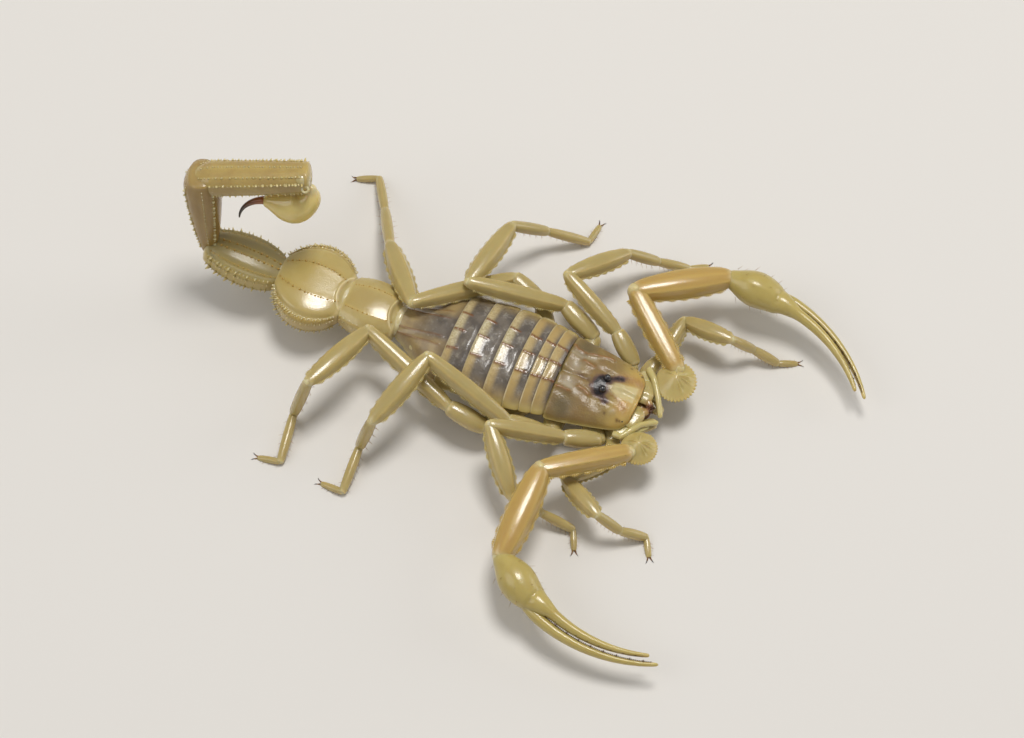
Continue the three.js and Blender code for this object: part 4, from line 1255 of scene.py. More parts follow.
# %% Median and lateral eyes
def eye(name, forward_at, outward, up, radius, side, *nodes):
    ball = new_piece(name, bpy.ops.mesh.primitive_ico_sphere_add, subdivisions=4, radius=radius)
    x, y, z = points_of(ball).T
    brow = 1 + 0.05 * bump(z / radius, -0.25, 0.16)
    move_points(ball, np.stack([x * brow, y * brow, z], axis=1))
    turned = Matrix.Translation(place(forward_at, outward, up, side))
    return settle(ball, turned, eye_finish, "eye", *nodes)


for eye_side in SIDES:
    eye(f"median_eye_{side_name(eye_side)}_dome", EYES["forward"], EYES["outward"], EYES["height"],
        EYES["diameter"] / 2, eye_side, f"median_eye_{side_name(eye_side)}")
    for i in range(3):
        eye(f"lateral_eye_{side_name(eye_side)}_{i}", 9.55 - 0.42 * i, 3.4 + 0.24 * i, 6.2 - 0.05 * i,
            0.12, eye_side)

# %% [markdown]
# ## The back and the belly
#
# Seven plates cover the back, each tucked under the one in front, and paler smooth plates cover
# the belly. Between them, along the flanks, soft skin lets the body swell after a meal. So a soft
# closed body comes first, and the plates are thin curved sheets over it. A back plate is again a
# grid carried round the section. Its rear edge stands a little proud, which gives the stepped
# outline of the back.

# %% The soft body under the plates
TRUNK = {
    "length": 21.4, "width": 14.1, "middle": 5.4, "rise": 3.1, "drop": 3.2,
    "rear_rise": 1.9, "rear_drop": 0.95, "sink": 0.9,
}
TRUNK_SQUARE = 1.85  # the power of the section's superellipse


def trunk_half_width(t):
    front = 0.88 + 0.12 * np.sin(np.minimum(1, t / 0.3) * math.pi / 2)
    return TRUNK["width"] / 2 * front * (1 - 0.68 * fade(t, 0.62, 1.02))


def trunk_sink(t):
    """By how much the widest level sinks towards the tail."""
    return TRUNK["sink"] * fade(t, 0.35, 0.75)


def trunk_middle(t):
    return TRUNK["middle"] - trunk_sink(t)


def trunk_rise(t):
    return TRUNK["rise"] + trunk_sink(t) - TRUNK["rear_rise"] * fade(t, 0.5, 1)


def trunk_drop(t):
    return TRUNK["drop"] - trunk_sink(t) - TRUNK["rear_drop"] * fade(t, 0.5, 1)


def trunk_y(t):
    return 0.3 + t * TRUNK["length"]


body_stations = [
    (-9.8, 2.6, 0.5, 5.2), (-9.5, 3.1, 0.6, 5.2), (-7, 3.9, 0.7, 5.3), (-3, 4.6, 0.8, 5.4),
    (-0.8, 4.8, 0.9, 5.5),
]
for t in (0.03, 0.1, 0.22, 0.34, 0.46, 0.58, 0.7, 0.8, 0.9, 0.97):
    body_stations.append((
        trunk_y(t), float(trunk_half_width(t)) * 0.94, float(trunk_rise(t) + trunk_drop(t)) / 2 * 0.84,
        float(trunk_middle(t) + (trunk_rise(t) - trunk_drop(t)) / 2),
    ))
body_stations += [(trunk_y(1.0), 1.9, 1.2, 4.6), (trunk_y(1.02), 1.2, 0.8, 4.6)]
soft_body = drawn_blank("soft_body", body_stations, 24)
x, y, z = points_of(soft_body).T
pleats = 0.05 * np.sin(y * 9) * (np.abs(x) > 2.5)
move_points(soft_body, np.stack([x + np.sign(x) * pleats, y, z], axis=1))
settle(soft_body, HOME, membrane_finish, "trunk_shell")


# %% One back plate
PLATES = (1.3, 1.5, 2.1, 2.8, 3.2, 3.2, 7.3)  # their lengths along the back


def back_plate(index):
    starts = np.concatenate([[0], np.cumsum(PLATES)]) / sum(PLATES)
    begin, end = starts[index], starts[index + 1]
    plate = sheet_grid(f"tergite_{index + 1}", 96, 30 + 4 * index)
    u, v, _ = points_of(plate).T
    last = index == len(PLATES) - 1
    t = begin - 0.018 + (end - begin + 0.018) * v
    t = t - 0.012 * (np.abs(u) ** 3) * (1 if last else 0.4)
    arc_x, arc_z = power_arc(math.pi / 2 - u * math.radians(86 if last else 80), TRUNK_SQUARE)
    lift = -0.25 + 0.27 * fade(v, 0.0, 0.3) + 0.16 * fade(v, 0.55, 0.97)
    tuck = 0.14 * bump(v, 1.0, 0.045)
    t_safe = np.clip(t, 0, 1)
    scallop = 0.34 * np.sin(math.pi * np.clip(v, 0, 1)) ** 0.5 - 0.16
    half = trunk_half_width(t_safe) + scallop * fade(np.abs(u), 0.72, 1) + 0.6 * lift
    rise = trunk_rise(t_safe)
    x = half * arc_x
    z = trunk_middle(t_safe) + (rise + lift - tuck) * arc_z
    y = trunk_y(t)

    behind = (1 - v) * PLATES[index]  # how far each point is from the plate's rear edge
    beads = 0.75 + 0.25 * np.abs(np.sin(behind * 9.5))
    stroke = fade(behind, 0.04, 0.12) * (1 - fade(behind, 1.25, 1.65)) * beads
    lateral_at = 2.7 * (half / 7.0) ** 0.6 - 0.12 * behind
    median = bump(x, 0, 0.17) * stroke
    lateral = bump(np.abs(x) - lateral_at, 0, 0.17) * stroke
    if last:
        median *= 0.3
        run = fade(v, 0.12, 0.2) * (1 - fade(v, 0.94, 0.98)) * beads
        lateral = (bump(np.abs(x) - 1.35, 0, 0.12) + bump(np.abs(x) - 2.75 + 0.8 * v, 0, 0.12)) * run
    z += 0.11 * median + 0.11 * lateral
    z += 0.05 * np.sin(x * 2.1 + index) * bump(v, 0.35, 0.2) * (np.abs(u) < 0.8)
    move_points(plate, np.stack([x, y, z], axis=1))

    side_share = fade(np.abs(u), 0.5, 0.85)
    band = (1 - fade(behind, 0.45, 1.25)) * (1 - 0.35 * side_share)
    middle_share = 1 - fade(np.abs(x), 2.4, 3.0)
    mid_grey = (1 - fade(v, 0.3, 0.85)) * (1 - fade(np.abs(x), 1.2, 2.4)) if last else 1
    mark(
        plate,
        band=0.3 * band if last else band,
        amber=np.clip((1 - middle_share) * (0.35 + 0.4 * (x < 0)) + (0.75 if index < 3 else 0), 0, 1),
        grey=(1 - side_share) * (1 - band) * mid_grey,
        rust=np.clip(1.2 * (median + lateral) * (0.55 if last else 1), 0, 1),
        border=np.clip(fade(np.abs(u), 0.72, 0.95), 0, 1),
        shine=bump(behind, 0.05, 0.06),
        fold=1 - fade(v, 0.03, 0.22),
    )
    thickened(plate, 0.16)
    return plate


def tergite_finish():
    recipe = Recipe("back plate chitin", 0.26, coat=0.4, soft=0.15)
    slate = recipe.mix(
        recipe.span(recipe.noise(1.6, 3), 0.35, 0.65), (0.105, 0.088, 0.072), (0.165, 0.14, 0.112),
    )
    cobweb = recipe.times(
        recipe.span(recipe.noise(1.1, 2, 0.3), 0.5, 0.72), recipe.span(recipe.noise(0.3, 4), 0.3, 0.65),
    )
    slate = recipe.mix(recipe.times(cobweb, 0.75), slate, (0.32, 0.29, 0.24))
    color = recipe.mix(recipe.span(recipe.noise(1.5), 0.35, 0.65), (0.36, 0.265, 0.12), (0.27, 0.195, 0.1))
    mosaic = recipe.mix(recipe.span(recipe.noise(0.25, 3), 0.4, 0.62), (0.58, 0.5, 0.31), (0.44, 0.36, 0.2))
    mosaic = recipe.mix(recipe.field("amber"), mosaic, (0.46, 0.32, 0.12))
    color = recipe.laid(color, (
        ("grey", None, slate),
        ("band", recipe.span(recipe.noise(0.6, 3), 0.25, 0.5, 0.6, 1.0), mosaic),
        ("border", 0.85, (0.56, 0.45, 0.17)),
        ("fold", 0.5, (0.1, 0.07, 0.05)),
        ("rust", None, (0.17, 0.06, 0.013)),
        ("shine", 0.7, (0.62, 0.54, 0.34)),
    ))
    speck = recipe.span(recipe.grains(0.5), 0.1, 0.03)
    color = recipe.mix(recipe.times(speck, 0.35), color, (0.55, 0.42, 0.16))
    rough = recipe.relief(recipe.grains(0.2), 0.03, 0.5)
    return recipe.done(color, recipe.relief(recipe.noise(0.9, 4), 0.07, 0.5, under=rough))


plate_finish = tergite_finish()
for plate_index in range(len(PLATES)):
    nodes = ["trunk"] if plate_index == 3 else []
    settle(back_plate(plate_index), HOME, plate_finish, "trunk_shell", *nodes)


# %% The belly plates
def belly_plate(index, begin, end):
    plate = sheet_grid(f"sternite_{index + 3}", 48, 22)
    u, v, _ = points_of(plate).T
    t = begin - 0.012 + (end - begin + 0.012) * v
    arc_x, arc_z = power_arc(-math.pi / 2 + u * math.radians(68), TRUNK_SQUARE)
    lift = -0.12 + 0.15 * fade(v, 0, 0.4)
    t_safe = np.clip(t, 0, 1)
    half = trunk_half_width(t_safe)
    x = (half + lift) * arc_x
    slit = bump(np.hypot((v - 0.55) * 7, (np.abs(x) - 3.2 * half / 7) * 1.3), 0, 0.35)  # a breathing slit
    z = trunk_middle(t_safe) + (trunk_drop(t_safe) + lift) * arc_z + 0.12 * slit
    move_points(plate, np.stack([x, trunk_y(t), z], axis=1))
    mark(plate, keel=0.8 * slit, joint=0.6 * bump(1 - v, 0, 0.12))
    thickened(plate, 0.14, out=-1)
    return plate


BELLY_CUTS = (0.3, 0.43, 0.56, 0.69, 0.82, 0.98)  # shares of the trunk's length
for i, (begin, end) in enumerate(zip(BELLY_CUTS, BELLY_CUTS[1:])):
    settle(belly_plate(i, begin, end), HOME, underside_finish, "underside")

# %% [markdown]
# ## The head from below
#
# Under the carapace each leg starts at a coxa, a bar that reaches out from the middle. A small
# plate, the sternum, lies between them, and the front coxae have lobes that close the mouth.
# The pedipalp coxae rise in front as two big lobes, each with a pale ridge. Behind the last
# coxae are the two combs, the pectines, which only scorpions have.

# %% Coxae and sternum
def bar(name, start, end, width, depth, keels=()):
    """A bar of shell, a little slimmer at its far end, for the leg bases and the mouth lobes."""
    along = end - start
    shape = {"width": 2 * width, "depth": 2 * depth, "waist": 0.8, "keels": keels, "power": 2.6}
    piece = limb_shell(name, along.length, shape, stations=5, sides=16)
    x, y, z = points_of(piece).T
    slimming = 1 - (1 - BAR_TAPER) * (y / along.length)
    move_points(piece, np.stack([x * slimming, y, z * slimming], axis=1))
    return settle(piece, frame_along(start, along.normalized()), leg_finish, "underside")


BAR_TAPER = 0.9
COXA_MIDDLE = 3.05
RIDGES = {
    LEFT: (
        (9.8, 5.2, 5.5), (10.8, 4.2, 5.6), (11.65, 2.95, 5.5), (12.35, 1.8, 5.3), (12.95, 0.7, 5.0),
        (13.5, -0.35, 4.7),
    ),
    RIGHT: (
        (9.1, -4.95, 5.3), (10.1, -5.05, 5.5), (10.95, -3.7, 5.5), (11.6, -2.55, 5.3), (12.6, -1.65, 5.0),
        (13.45, -1.0, 4.7),
    ),
}
ridge_finish = shell_finish(
    "coxal ridge", (0.56, 0.48, 0.2), (0.5, 0.42, 0.16), (0.62, 0.52, 0.24), CREAM, 0.2,
)

for side in SIDES:
    for row, spec in LEGS.items():
        start = place(6.2 - 2.6 * (row - 1), 1.2, COXA_MIDDLE - 0.1, side)
        end = place(spec["hip"][0], spec["hip"][1], spec["hip"][2] - 0.3, side)
        bar(f"coxa_{row}_{side_name(side)}", start, end, 1.45 * spec["girth"], 1.2 * spec["girth"])
    bar(
        f"palp_coxa_{side_name(side)}", place(6.5, 2.2, COXA_MIDDLE + 0.3, side), place(11.5, 3.7, 4.0, side),
        1.5, 1.2, keels=((90, 0.06, 12, 0, 0),),
    )
    ridge_path = [(left, -ahead, up) for ahead, left, up in RIDGES[side]]
    ridge = horn(f"palp_coxa_ridge_{side_name(side)}", ridge_path, 0.46, 0.36, 12, 2)
    settle(ridge, HOME, ridge_finish, "underside")
    shelf = drawn_blank(
        f"palp_coxa_shelf_{side_name(side)}",
        [(-0.1, 0.6, 0.16, 0), (0, 0.8, 0.2, 0), (1.5, 1.05, 0.26, 0.05), (3.0, 0.85, 0.26, 0.0),
         (4.3, 0.5, 0.2, -0.1), (4.5, 0.3, 0.12, -0.1)],
        16,
    )
    mark(shelf, joint=0.5 * bump(points_of(shelf)[:, 1], 0.3, 0.5))
    shelf_place = frame_along(place(9.0, 4.55, 5.0, side), direction(side, -38, -3))
    settle(shelf, shelf_place, ridge_finish, "underside")
    bar(f"mouth_lobe_{side_name(side)}", place(9.2, 3.6, 3.7, side), place(12.9, 0.9, 3.9, side), 1.0, 0.6)

STERNUM = {
    "width": 5.6, "depth": 1.5, "waist": 0.4, "peak": 1.25, "power": 2.8, "keels": ((-90, 0.05, 20, 0, 0),),
}
sternum = limb_shell("sternum", 10.4, STERNUM, stations=7, sides=24)
settle(sternum, Matrix.Translation(place(5.6, 0, 2.55)), underside_finish, "underside", "coxae_and_sternum")


# %% Pectines
COMB_TEETH = 22


def comb(side):
    """A slim spine with a row of soft teeth along one edge."""
    local = frame_along(place(-4.8, 1.2, 1.55, side), direction(side, 112, 0))
    name = f"pecten_{side_name(side)}"
    parts = [drawn_blank(
        name,
        [(-0.2, 0.2, 0.16, 0), (0, 0.42, 0.26, 0), (2.5, 0.4, 0.26, 0), (5, 0.3, 0.22, 0),
         (7.2, 0.2, 0.16, 0), (7.4, 0.1, 0.08, 0)],
        12,
    )]
    for i in range(COMB_TEETH):
        t = (i + 0.5) / COMB_TEETH
        y = 0.3 + 6.9 * t
        reach = 0.85 - 0.35 * t
        path = [(0.2 + reach * s, y + 0.12 * s, -0.02 - 0.06 * s) for s in (0, 0.35, 0.7, 1.0)]
        parts.append(horn(f"{name}_tooth_{i}", path, 0.15, 0.13))
    return settle(joined(f"{name}_comb", parts), local, underside_finish, "underside", name)


for side in SIDES:
    comb(side)


# %% Chelicerae
CHELICERA = {"forward": 10.55, "outward": {LEFT: 2.1, RIGHT: 1.75}, "width": 3.1, "height": 5.25}
CHELICERA_TEETH = 8


def chelicera(side):
    """The short pincers before the mouth: a wide flat base, and a dark toothed tip turned inward."""
    name = f"chelicera_{side_name(side)}"
    half = CHELICERA["width"] / 2
    base = drawn_blank(
        f"{name}_base",
        [(-0.75, 0.8 * half, 0.34, 0), (-0.6, 1.05 * half, 0.4, 0), (0.0, 1.1 * half, 0.44, 0),
         (0.5, 1.05 * half, 0.42, 0), (0.85, 0.86 * half, 0.38, -0.03), (1.12, 0.55 * half, 0.3, -0.08),
         (1.2, 0.3 * half, 0.2, -0.1)],
        24,
    )
    points = points_of(base)
    points[:, 0] += side * 0.45 * fade(points[:, 1], 0.2, 1.2)
    points[:, 2] += 0.09 * bump(points[:, 0], side * 0.3, 0.3) * (points[:, 2] > 0)
    move_points(base, points)
    inner_edge = fade(side * points[:, 0], 0.7, 1.6) * fade(points[:, 1], 0.0, 1.0)
    front = bump(points[:, 1], 1.15, 0.2)
    ridge = bump(points[:, 0], side * 0.3, 0.35)
    mark(base, joint=0.35 * ridge, keel=np.clip(0.9 * inner_edge + 0.4 * front, 0, 1))
    root = place(CHELICERA["forward"], CHELICERA["outward"][side], CHELICERA["height"], side)
    local = frame_along(root, direction(side, 0, -3))
    settle(base, local, chelicera_finish, "underside", name)

    tip = drawn_blank(
        f"{name}_tip",
        [(-0.2, 0.3, 0.3, 0), (-0.1, 0.45, 0.4, 0), (0.4, 0.55, 0.42, 0), (0.95, 0.4, 0.34, -0.05),
         (1.2, 0.2, 0.2, -0.1)],
        14,
    )
    mark(tip, along=fade(points_of(tip)[:, 1], 0.2, 1.1))
    turned_in = Matrix.Rotation(-side * math.radians(58), 4, "Z")
    inward = local @ Matrix.Translation((side * 0.95, 0.75, -0.1)) @ turned_in
    settle(tip, inward, chelicera_tip_finish, "underside")
    fingers = []
    for fore, length in ((0.34, 1.15), (-0.3, 0.95)):
        path = [
            (fore * (1 - 0.55 * t * t), 0.75 + length * t, 0.12 - 0.3 * t) for t in (0, 0.25, 0.5, 0.75, 1.0)
        ]
        fingers.append(horn(f"{name}_finger_{fore}", path, 0.22, 0.06, 12))
    feet = [(0.16 * (-1) ** k, 0.85 + 0.13 * k, 0.16 - 0.03 * k) for k in range(CHELICERA_TEETH)]
    ways = [(0.5 * (-1) ** (k + 1), 0, 1) for k in range(CHELICERA_TEETH)]
    fingers.append(scattered(f"{name}_teeth", "tooth", feet, ways, 0.11, 0.24))
    return settle(joined(f"{name}_fingers", fingers), inward, denticle_finish, "underside")


def tip_color():
    """Honey at the root of a chelicera's tip, dark red at its end."""
    recipe = Recipe("reddish chelicera tip", 0.25, coat=0.4, soft=0.1)
    color = recipe.mix(recipe.span(recipe.field("along"), 0.1, 0.8), (0.42, 0.27, 0.09), (0.2, 0.07, 0.025))
    return recipe.done(color, recipe.relief(recipe.grains(0.2), 0.03, 0.5))


chelicera_tip_finish = tip_color()
chelicera_finish = shell_finish(
    "straw chelicera", (0.5, 0.41, 0.15), (0.44, 0.35, 0.12), (0.36, 0.17, 0.06), CREAM,
)
for side in SIDES:
    chelicera(side)
gullet = drawn_blank(
    "mouth_floor",
    [(-0.1, 0.9, 0.2, 0), (0, 1.3, 0.35, 0), (0.7, 1.6, 0.45, 0), (1.5, 1.35, 0.4, -0.05),
     (2.1, 0.8, 0.3, -0.1), (2.2, 0.4, 0.15, -0.1)],
    20,
)
mark(gullet, along=0.35 + 0.4 * fade(points_of(gullet)[:, 1], 0.8, 2.0))
settle(gullet, frame_along(place(9.9, 0.1, 4.35), direction(LEFT, 0, 0)), chelicera_tip_finish, "underside")
print("underside done")

# %% [markdown]
# ## The tail
#
# The tail has five lengths and a sting. The first is barrel-shaped, the second is the animal's
# mark: a flat round disc with a raised, toothed rim. The third is flat as well, the fourth stands
# upright, and the fifth lies folded back over the others, upside down. Each length is drawn out
# as a tube and then given its own outline, seen from above, and its own section, seen from the
# end. The keels are rows of grains, and the side rims of the first three carry strong teeth.

# %% Outlines and profiles of the tail lengths
def blunt(t):
    return (1 - 0.45 * np.clip(1 - t / 0.18, 0, 1) ** 2) * (1 - 0.12 * t * t)


def edge_outline(name, t):
    """Width of a tail length along it, as a share of its widest."""
    t = np.clip(t, 0, 1)
    if name == "metasoma_1":
        return 0.62 + 0.38 * np.sin(np.pi * np.minimum(1, 0.1 + t * 0.78)) ** 0.8
    if name == "metasoma_2":
        return np.sqrt(1 - np.minimum(0.96, np.abs(1.81 * t - 0.84)) ** 2)
    if name == "metasoma_3":
        return 0.54 + 0.46 * np.sin(np.pi * t**0.9) ** 0.7
    if name == "metasoma_4":
        return 0.42 + 0.58 * (1 - (1 - t) ** 1.8)
    return blunt(t)


def side_profile(name, t):
    """Height of a tail length along it, as a share of its highest."""
    t = np.clip(t, 0, 1)
    if name == "metasoma_4":
        return (1 - 0.58 * (1 - t) ** 1.8) * (1 - 0.35 * np.clip((t - 0.85) / 0.15, 0, 1) ** 2)
    if name == "metasoma_5":
        return blunt(t)
    return 0.74 + 0.26 * np.sin(np.pi * t) ** 0.7


# Teeth stand along the two side rims. Keels: angle round the section from the side rim up to the
# back (90) or down to the belly (-90), height, grain size, and how much the grains grow rearward.
TAIL = (
    {
        "name": "metasoma_1", "length": 7.2, "width": 7.8, "height": 4.4, "heading": 180, "pitch": 2,
        "overhang": (0, 0), "rim": 0.5, "round": 2.3, "teeth": 24, "tooth": 0.34,
        "keels": ((64, 0.05, 0.14, 0),),
    },
    {
        "name": "metasoma_2", "length": 9.3, "width": 11.9, "height": 4.4, "heading": 180, "pitch": 4,
        "overhang": (0, 0), "rim": 0.5, "round": 2.6, "teeth": 38, "tooth": 0.5,
        "keels": ((74, 0.05, 0.21, 0),),
    },
    {
        "name": "metasoma_3", "length": 9.5, "width": 6.4, "height": 4.3, "heading": -177, "pitch": 11,
        "overhang": (0.4, 0.2), "rim": 0.5, "round": 2.5, "teeth": 18, "tooth": 0.66,
        "keels": ((84, 0.06, 0.24, 0), (52, 0.06, 0.12, 0)),
    },
    {
        "name": "metasoma_4", "length": 12.1, "width": 5.1, "height": 4.8, "heading": 118, "pitch": 79,
        "overhang": (0.2, 0.9), "rim": 0.12, "round": 2.3, "teeth": 0, "tooth": 0,
        "keels": ((34, 0.05, 0.27, 0), (-56, 0.05, 0.27, 0), (3, 0.02, 0.14, 0)),
    },
    {
        "name": "metasoma_5", "length": 12.5, "width": 4.7, "height": 3.8, "heading": 20, "pitch": 5,
        "overhang": (0.9, 0.9), "rim": 0.12, "round": 2.2, "teeth": 0, "tooth": 0,
        "keels": (
            (-50, 0.04, 0.22, 0.4), (-89, 0.02, 0.15, 0.2), (-19, 0.04, 0.24, 0.8), (26, 0.04, 0.2, 0.3),
        ),
    },
)


def tail_shape(spec, y):
    """Share of the length, half width and half height at a distance along it."""
    before, after = spec["overhang"]
    t = np.clip((y + before) / (spec["length"] + before + after), 0, 1)
    half = spec["width"] / 2 * edge_outline(spec["name"], t)
    return t, np.maximum(half, 0.05), spec["height"] / 2 * side_profile(spec["name"], t)


def on_section(spec, turn, half, high):
    """Across and height of the section at an angle round it. The side rim is a narrow upright band."""
    across, lift = power_arc(turn, spec["round"])
    band = np.minimum(spec["rim"], 0.5 * high) * np.tanh(4 * np.sin(turn))
    return half * across, band + (high - np.minimum(spec["rim"], 0.5 * high)) * lift


def tail_shell(spec):
    name, length = spec["name"], spec["length"]
    before, after = spec["overhang"]
    reach = length + before + after
    blank_high = spec["height"] / 2 * 0.8
    count = 25
    stations = []
    for i in range(count):
        t = i / (count - 1)
        half = spec["width"] / 2 * float(edge_outline(name, t))
        stations.append((-before + reach * t, half, blank_high, 0.0))
    (y0, w0, h0, _), (y1, w1, h1, _) = stations[0], stations[-1]
    stations = [(y0 - 0.3, w0 * 0.6, h0 * 0.6, 0)] + stations + [(y1 + 0.3, w1 * 0.6, h1 * 0.6, 0)]
    piece = drawn_blank(f"{name}_shell", stations, 28)

    x, y, z = points_of(piece).T
    t, half, high = tail_shape(spec, y)
    in_body = (y > -before - 1e-3) & (y < length + after + 1e-3)
    turn = np.arctan2(z / blank_high, x / half)
    fill = np.where(in_body, 1.0, np.minimum(1, np.hypot(x / half, z / blank_high)))
    across, lift = on_section(spec, turn, half, high)
    points = np.stack([across, y, lift], axis=1)
    points[:, 0] *= fill
    points[:, 2] *= fill

    share = across / half
    rim_share = bump(1 - np.abs(share), 0.03, 0.07) if spec["teeth"] else np.zeros(len(x))
    inside = fade(t, 0.03, 0.12) * (1 - fade(t, 0.9, 0.97))
    keel = np.zeros(len(x))
    for at, rise, _, _ in spec["keels"]:
        for mirror in (math.radians(at), math.pi - math.radians(at)):
            line = bump(turn_gap(turn, mirror), 0, 0.085) * inside
            keel = np.maximum(keel, line)
            points[:, 0] += rise * line * np.cos(turn)
            points[:, 2] += rise * line * np.sin(turn)
    points[:, 2] += np.sign(z) * 0.14 * rim_share * inside
    arc_and_painted_highlight = np.zeros(len(x))
    if name in ("metasoma_1", "metasoma_2"):  # a raised white arc across the neck
        # The arc is raised, and painted pale along its crest as a highlight.
        from_arc = y - 1.15 + 0.95 * (points[:, 0] / 2.4) ** 2
        over_neck = (np.abs(points[:, 0]) < 2.5) * (points[:, 2] > 0.3)
        arc_and_painted_highlight = bump(from_arc, 0, 0.16) * over_neck
        points[:, 2] += (0.24 * arc_and_painted_highlight - 0.22 * (1 - fade(from_arc, -0.1, 0.1))) * over_neck
    if name == "metasoma_2":
        points[:, 2] -= np.sign(z) * 0.3 * bump(np.abs(share), 0.86, 0.055) * inside
        flutes = np.sin(np.pi * 50 * t) * bump(np.abs(share), 0.94, 0.05) * inside
        points[:, 2] += np.sign(z) * 0.12 * flutes
    if name == "metasoma_3":
        points[:, 2] -= np.sign(z) * 0.18 * bump(np.abs(share), 0.7, 0.12) * inside
    move_points(piece, points)
    ends = np.maximum(1 - fade(t, 0.0, 0.06), fade(t, 0.95, 1.0))
    mark(
        piece,
        keel=np.clip(0.5 * keel + 0.8 * rim_share, 0, 1),
        # joint: the pale ends of the length, and the painted highlight along the arc over the neck.
        joint=np.clip((0.6 if spec["teeth"] else 0.12) * ends + arc_and_painted_highlight, 0, 1),
        along=t,
        core=bump(share, 0, 0.5) * (z > 0) * inside if spec["teeth"] else 0.8 * inside * (1 - keel),
    )
    return piece


RIM_ROWS = ((27, 0.8), (11, 0.8), (-12, 1.0))  # degrees round the section, and size of the teeth
TALL_TEETH = ((0.82, 0.5), (0.955, 0.62))  # share of the tail length, and height


def tail_grains(spec):
    """Teeth along both rims, and rows of grains on the keels."""
    before, after = spec["overhang"]
    reach = spec["length"] + before + after
    rows = []  # of each grain or tooth: foot, way, radius, height and how pale it is
    for side in SIDES:
        for i in range(spec["teeth"]):
            t = 0.05 + 0.9 * (i + 0.5) / spec["teeth"]
            if spec["name"] == "metasoma_2":  # evenly round the circle, not along its axis
                t = 0.5 - 0.46 * math.cos(math.pi * (i + 0.5) / spec["teeth"])
            y = -before + reach * t
            half, ahead = (tail_shape(spec, np.array([at]))[1][0] for at in (y, y + 0.1))
            slope = (ahead - half) / 0.1
            out = np.array([1.0, -slope, 0]) / math.hypot(1, slope)
            grow = spec["tooth"] * (0.8 + 0.3 * math.sin(3.7 * i + side)) * (0.75 + 0.4 * t)
            _, half_here, high = tail_shape(spec, np.array([y]))
            for turn, size in RIM_ROWS:
                across, lift = on_section(spec, np.array([math.radians(turn)]), half_here, high)
                foot = (side * (across[0] - 0.08), y, lift[0])
                way = (side * out[0], out[1] + 0.25, math.sin(math.radians(turn)) * 0.9)
                rows.append((foot, way, 0.36 * grow * size, grow * size, 0.85 if turn > 20 else 0.45))
        for at, rise, size, growth in spec["keels"]:
            turn = math.radians(at) if side == LEFT else math.pi - math.radians(at)
            spacing = 0.3 + 1.2 * max(0.0, size - 0.08)
            count = int(reach / spacing)
            for i in range(count):
                t = 0.04 + 0.91 * (i + 0.5 + 0.2 * math.sin(5.1 * i)) / count
                y = -before + reach * t
                _, half, high = tail_shape(spec, np.array([y]))
                across, lift = on_section(spec, np.array([turn]), half, high)
                big = size * (1 + growth * t**3) * (0.8 + 0.32 * math.sin(2.9 * i + at))
                foot = (across[0] + rise * 0.6 * math.cos(turn), y, lift[0] + rise * 0.6 * math.sin(turn))
                way = (math.cos(turn), 0.25, math.sin(turn))
                rows.append((foot, way, 0.75 * big, 1.1 * big, 0.0 if spec["teeth"] else 0.8))
            if growth > 0.5:  # two tall teeth at the rear end of this keel
                for t, tall in TALL_TEETH:
                    y = -before + reach * t
                    _, half, high = tail_shape(spec, np.array([y]))
                    across, lift = on_section(spec, np.array([turn]), half, high)
                    way = (math.cos(turn), 0.1, math.sin(turn))
                    rows.append(((across[0], y, lift[0]), way, 0.24, tall, 0.5))
    feet, ways, radii, heights, tints = zip(*rows)
    grains = scattered(f"{spec['name']}_teeth", "tooth", feet, ways, radii, heights)
    pale = np.repeat(tints, len(grains.data.vertices) // len(feet))
    mark(grains, keel=np.full(len(pale), 0.3), joint=pale, ember=0.9 * (pale == 0))
    return grains


# %% Place the tail lengths
TAIL_ROOT = place(-21.8, 0, 5.2)
LAST_ROLL = 12  # degrees by which the last length leans over
tail_pose = [(spec["heading"], spec["pitch"]) for spec in TAIL]
tail_joints, tail_ways = walk(TAIL_ROOT, LEFT, [spec["length"] for spec in TAIL], tail_pose)
tail_backs = [UP, UP, UP, direction(LEFT, 20, 0), direction(LEFT, 20 - 90, LAST_ROLL - 90)]
tail_frames = [frame_along(joint, way, back) for joint, way, back in zip(tail_joints, tail_ways, tail_backs)]
tail_finishes = (tail_finish, disc_finish, grey_tail_finish, dark_tail_finish, last_tail_finish)
for spec, tail_frame, finish in zip(TAIL, tail_frames, tail_finishes):
    parts = [tail_shell(spec), tail_grains(spec)]
    settle(joined(f"{spec['name']}_shell", parts), tail_frame, finish, "honey_shell", spec["name"])
print("tail lengths:", [spec["length"] for spec in TAIL])


# %% The pale folds at the tail's joints
def joint_fold(name, frame_here, half_width, half_height, y):
    """A band of soft skin: a short tube with a rounded lip, seen as a pale arc between plates."""
    profile = ((-0.6, 0.7), (-0.5, 0.86), (-0.1, 1), (0.25, 0.98), (0.7, 0.8), (0.8, 0.6))
    stations = [(y + at, half_width * girth, half_height * girth, 0) for at, girth in profile]
    band = drawn_blank(name, stations, 24)
    return settle(band, frame_here, fold_finish, "underside")


fold_finish = plain_finish("pale fold", (0.62, 0.52, 0.28), (0.72, 0.64, 0.42), 0.2, coat=0.4, soft=0.3)
end_skin_finish = plain_finish(
    "soft tail end", (0.47, 0.38, 0.16), (0.6, 0.52, 0.31), 0.16, 0.9, coat=0.6, soft=0.4,
)
FOLDS = ((2.3, 1.75, -0.2), (2.4, 1.75, 0.0), (2.1, 1.8, 0.0), (1.05, 1.0, 0.1), (1.35, 1.15, 0.0))
for i, fold in enumerate(FOLDS):  # half width, half height and place along the length
    joint_fold(f"tail_fold_{i + 1}", tail_frames[i], *fold)

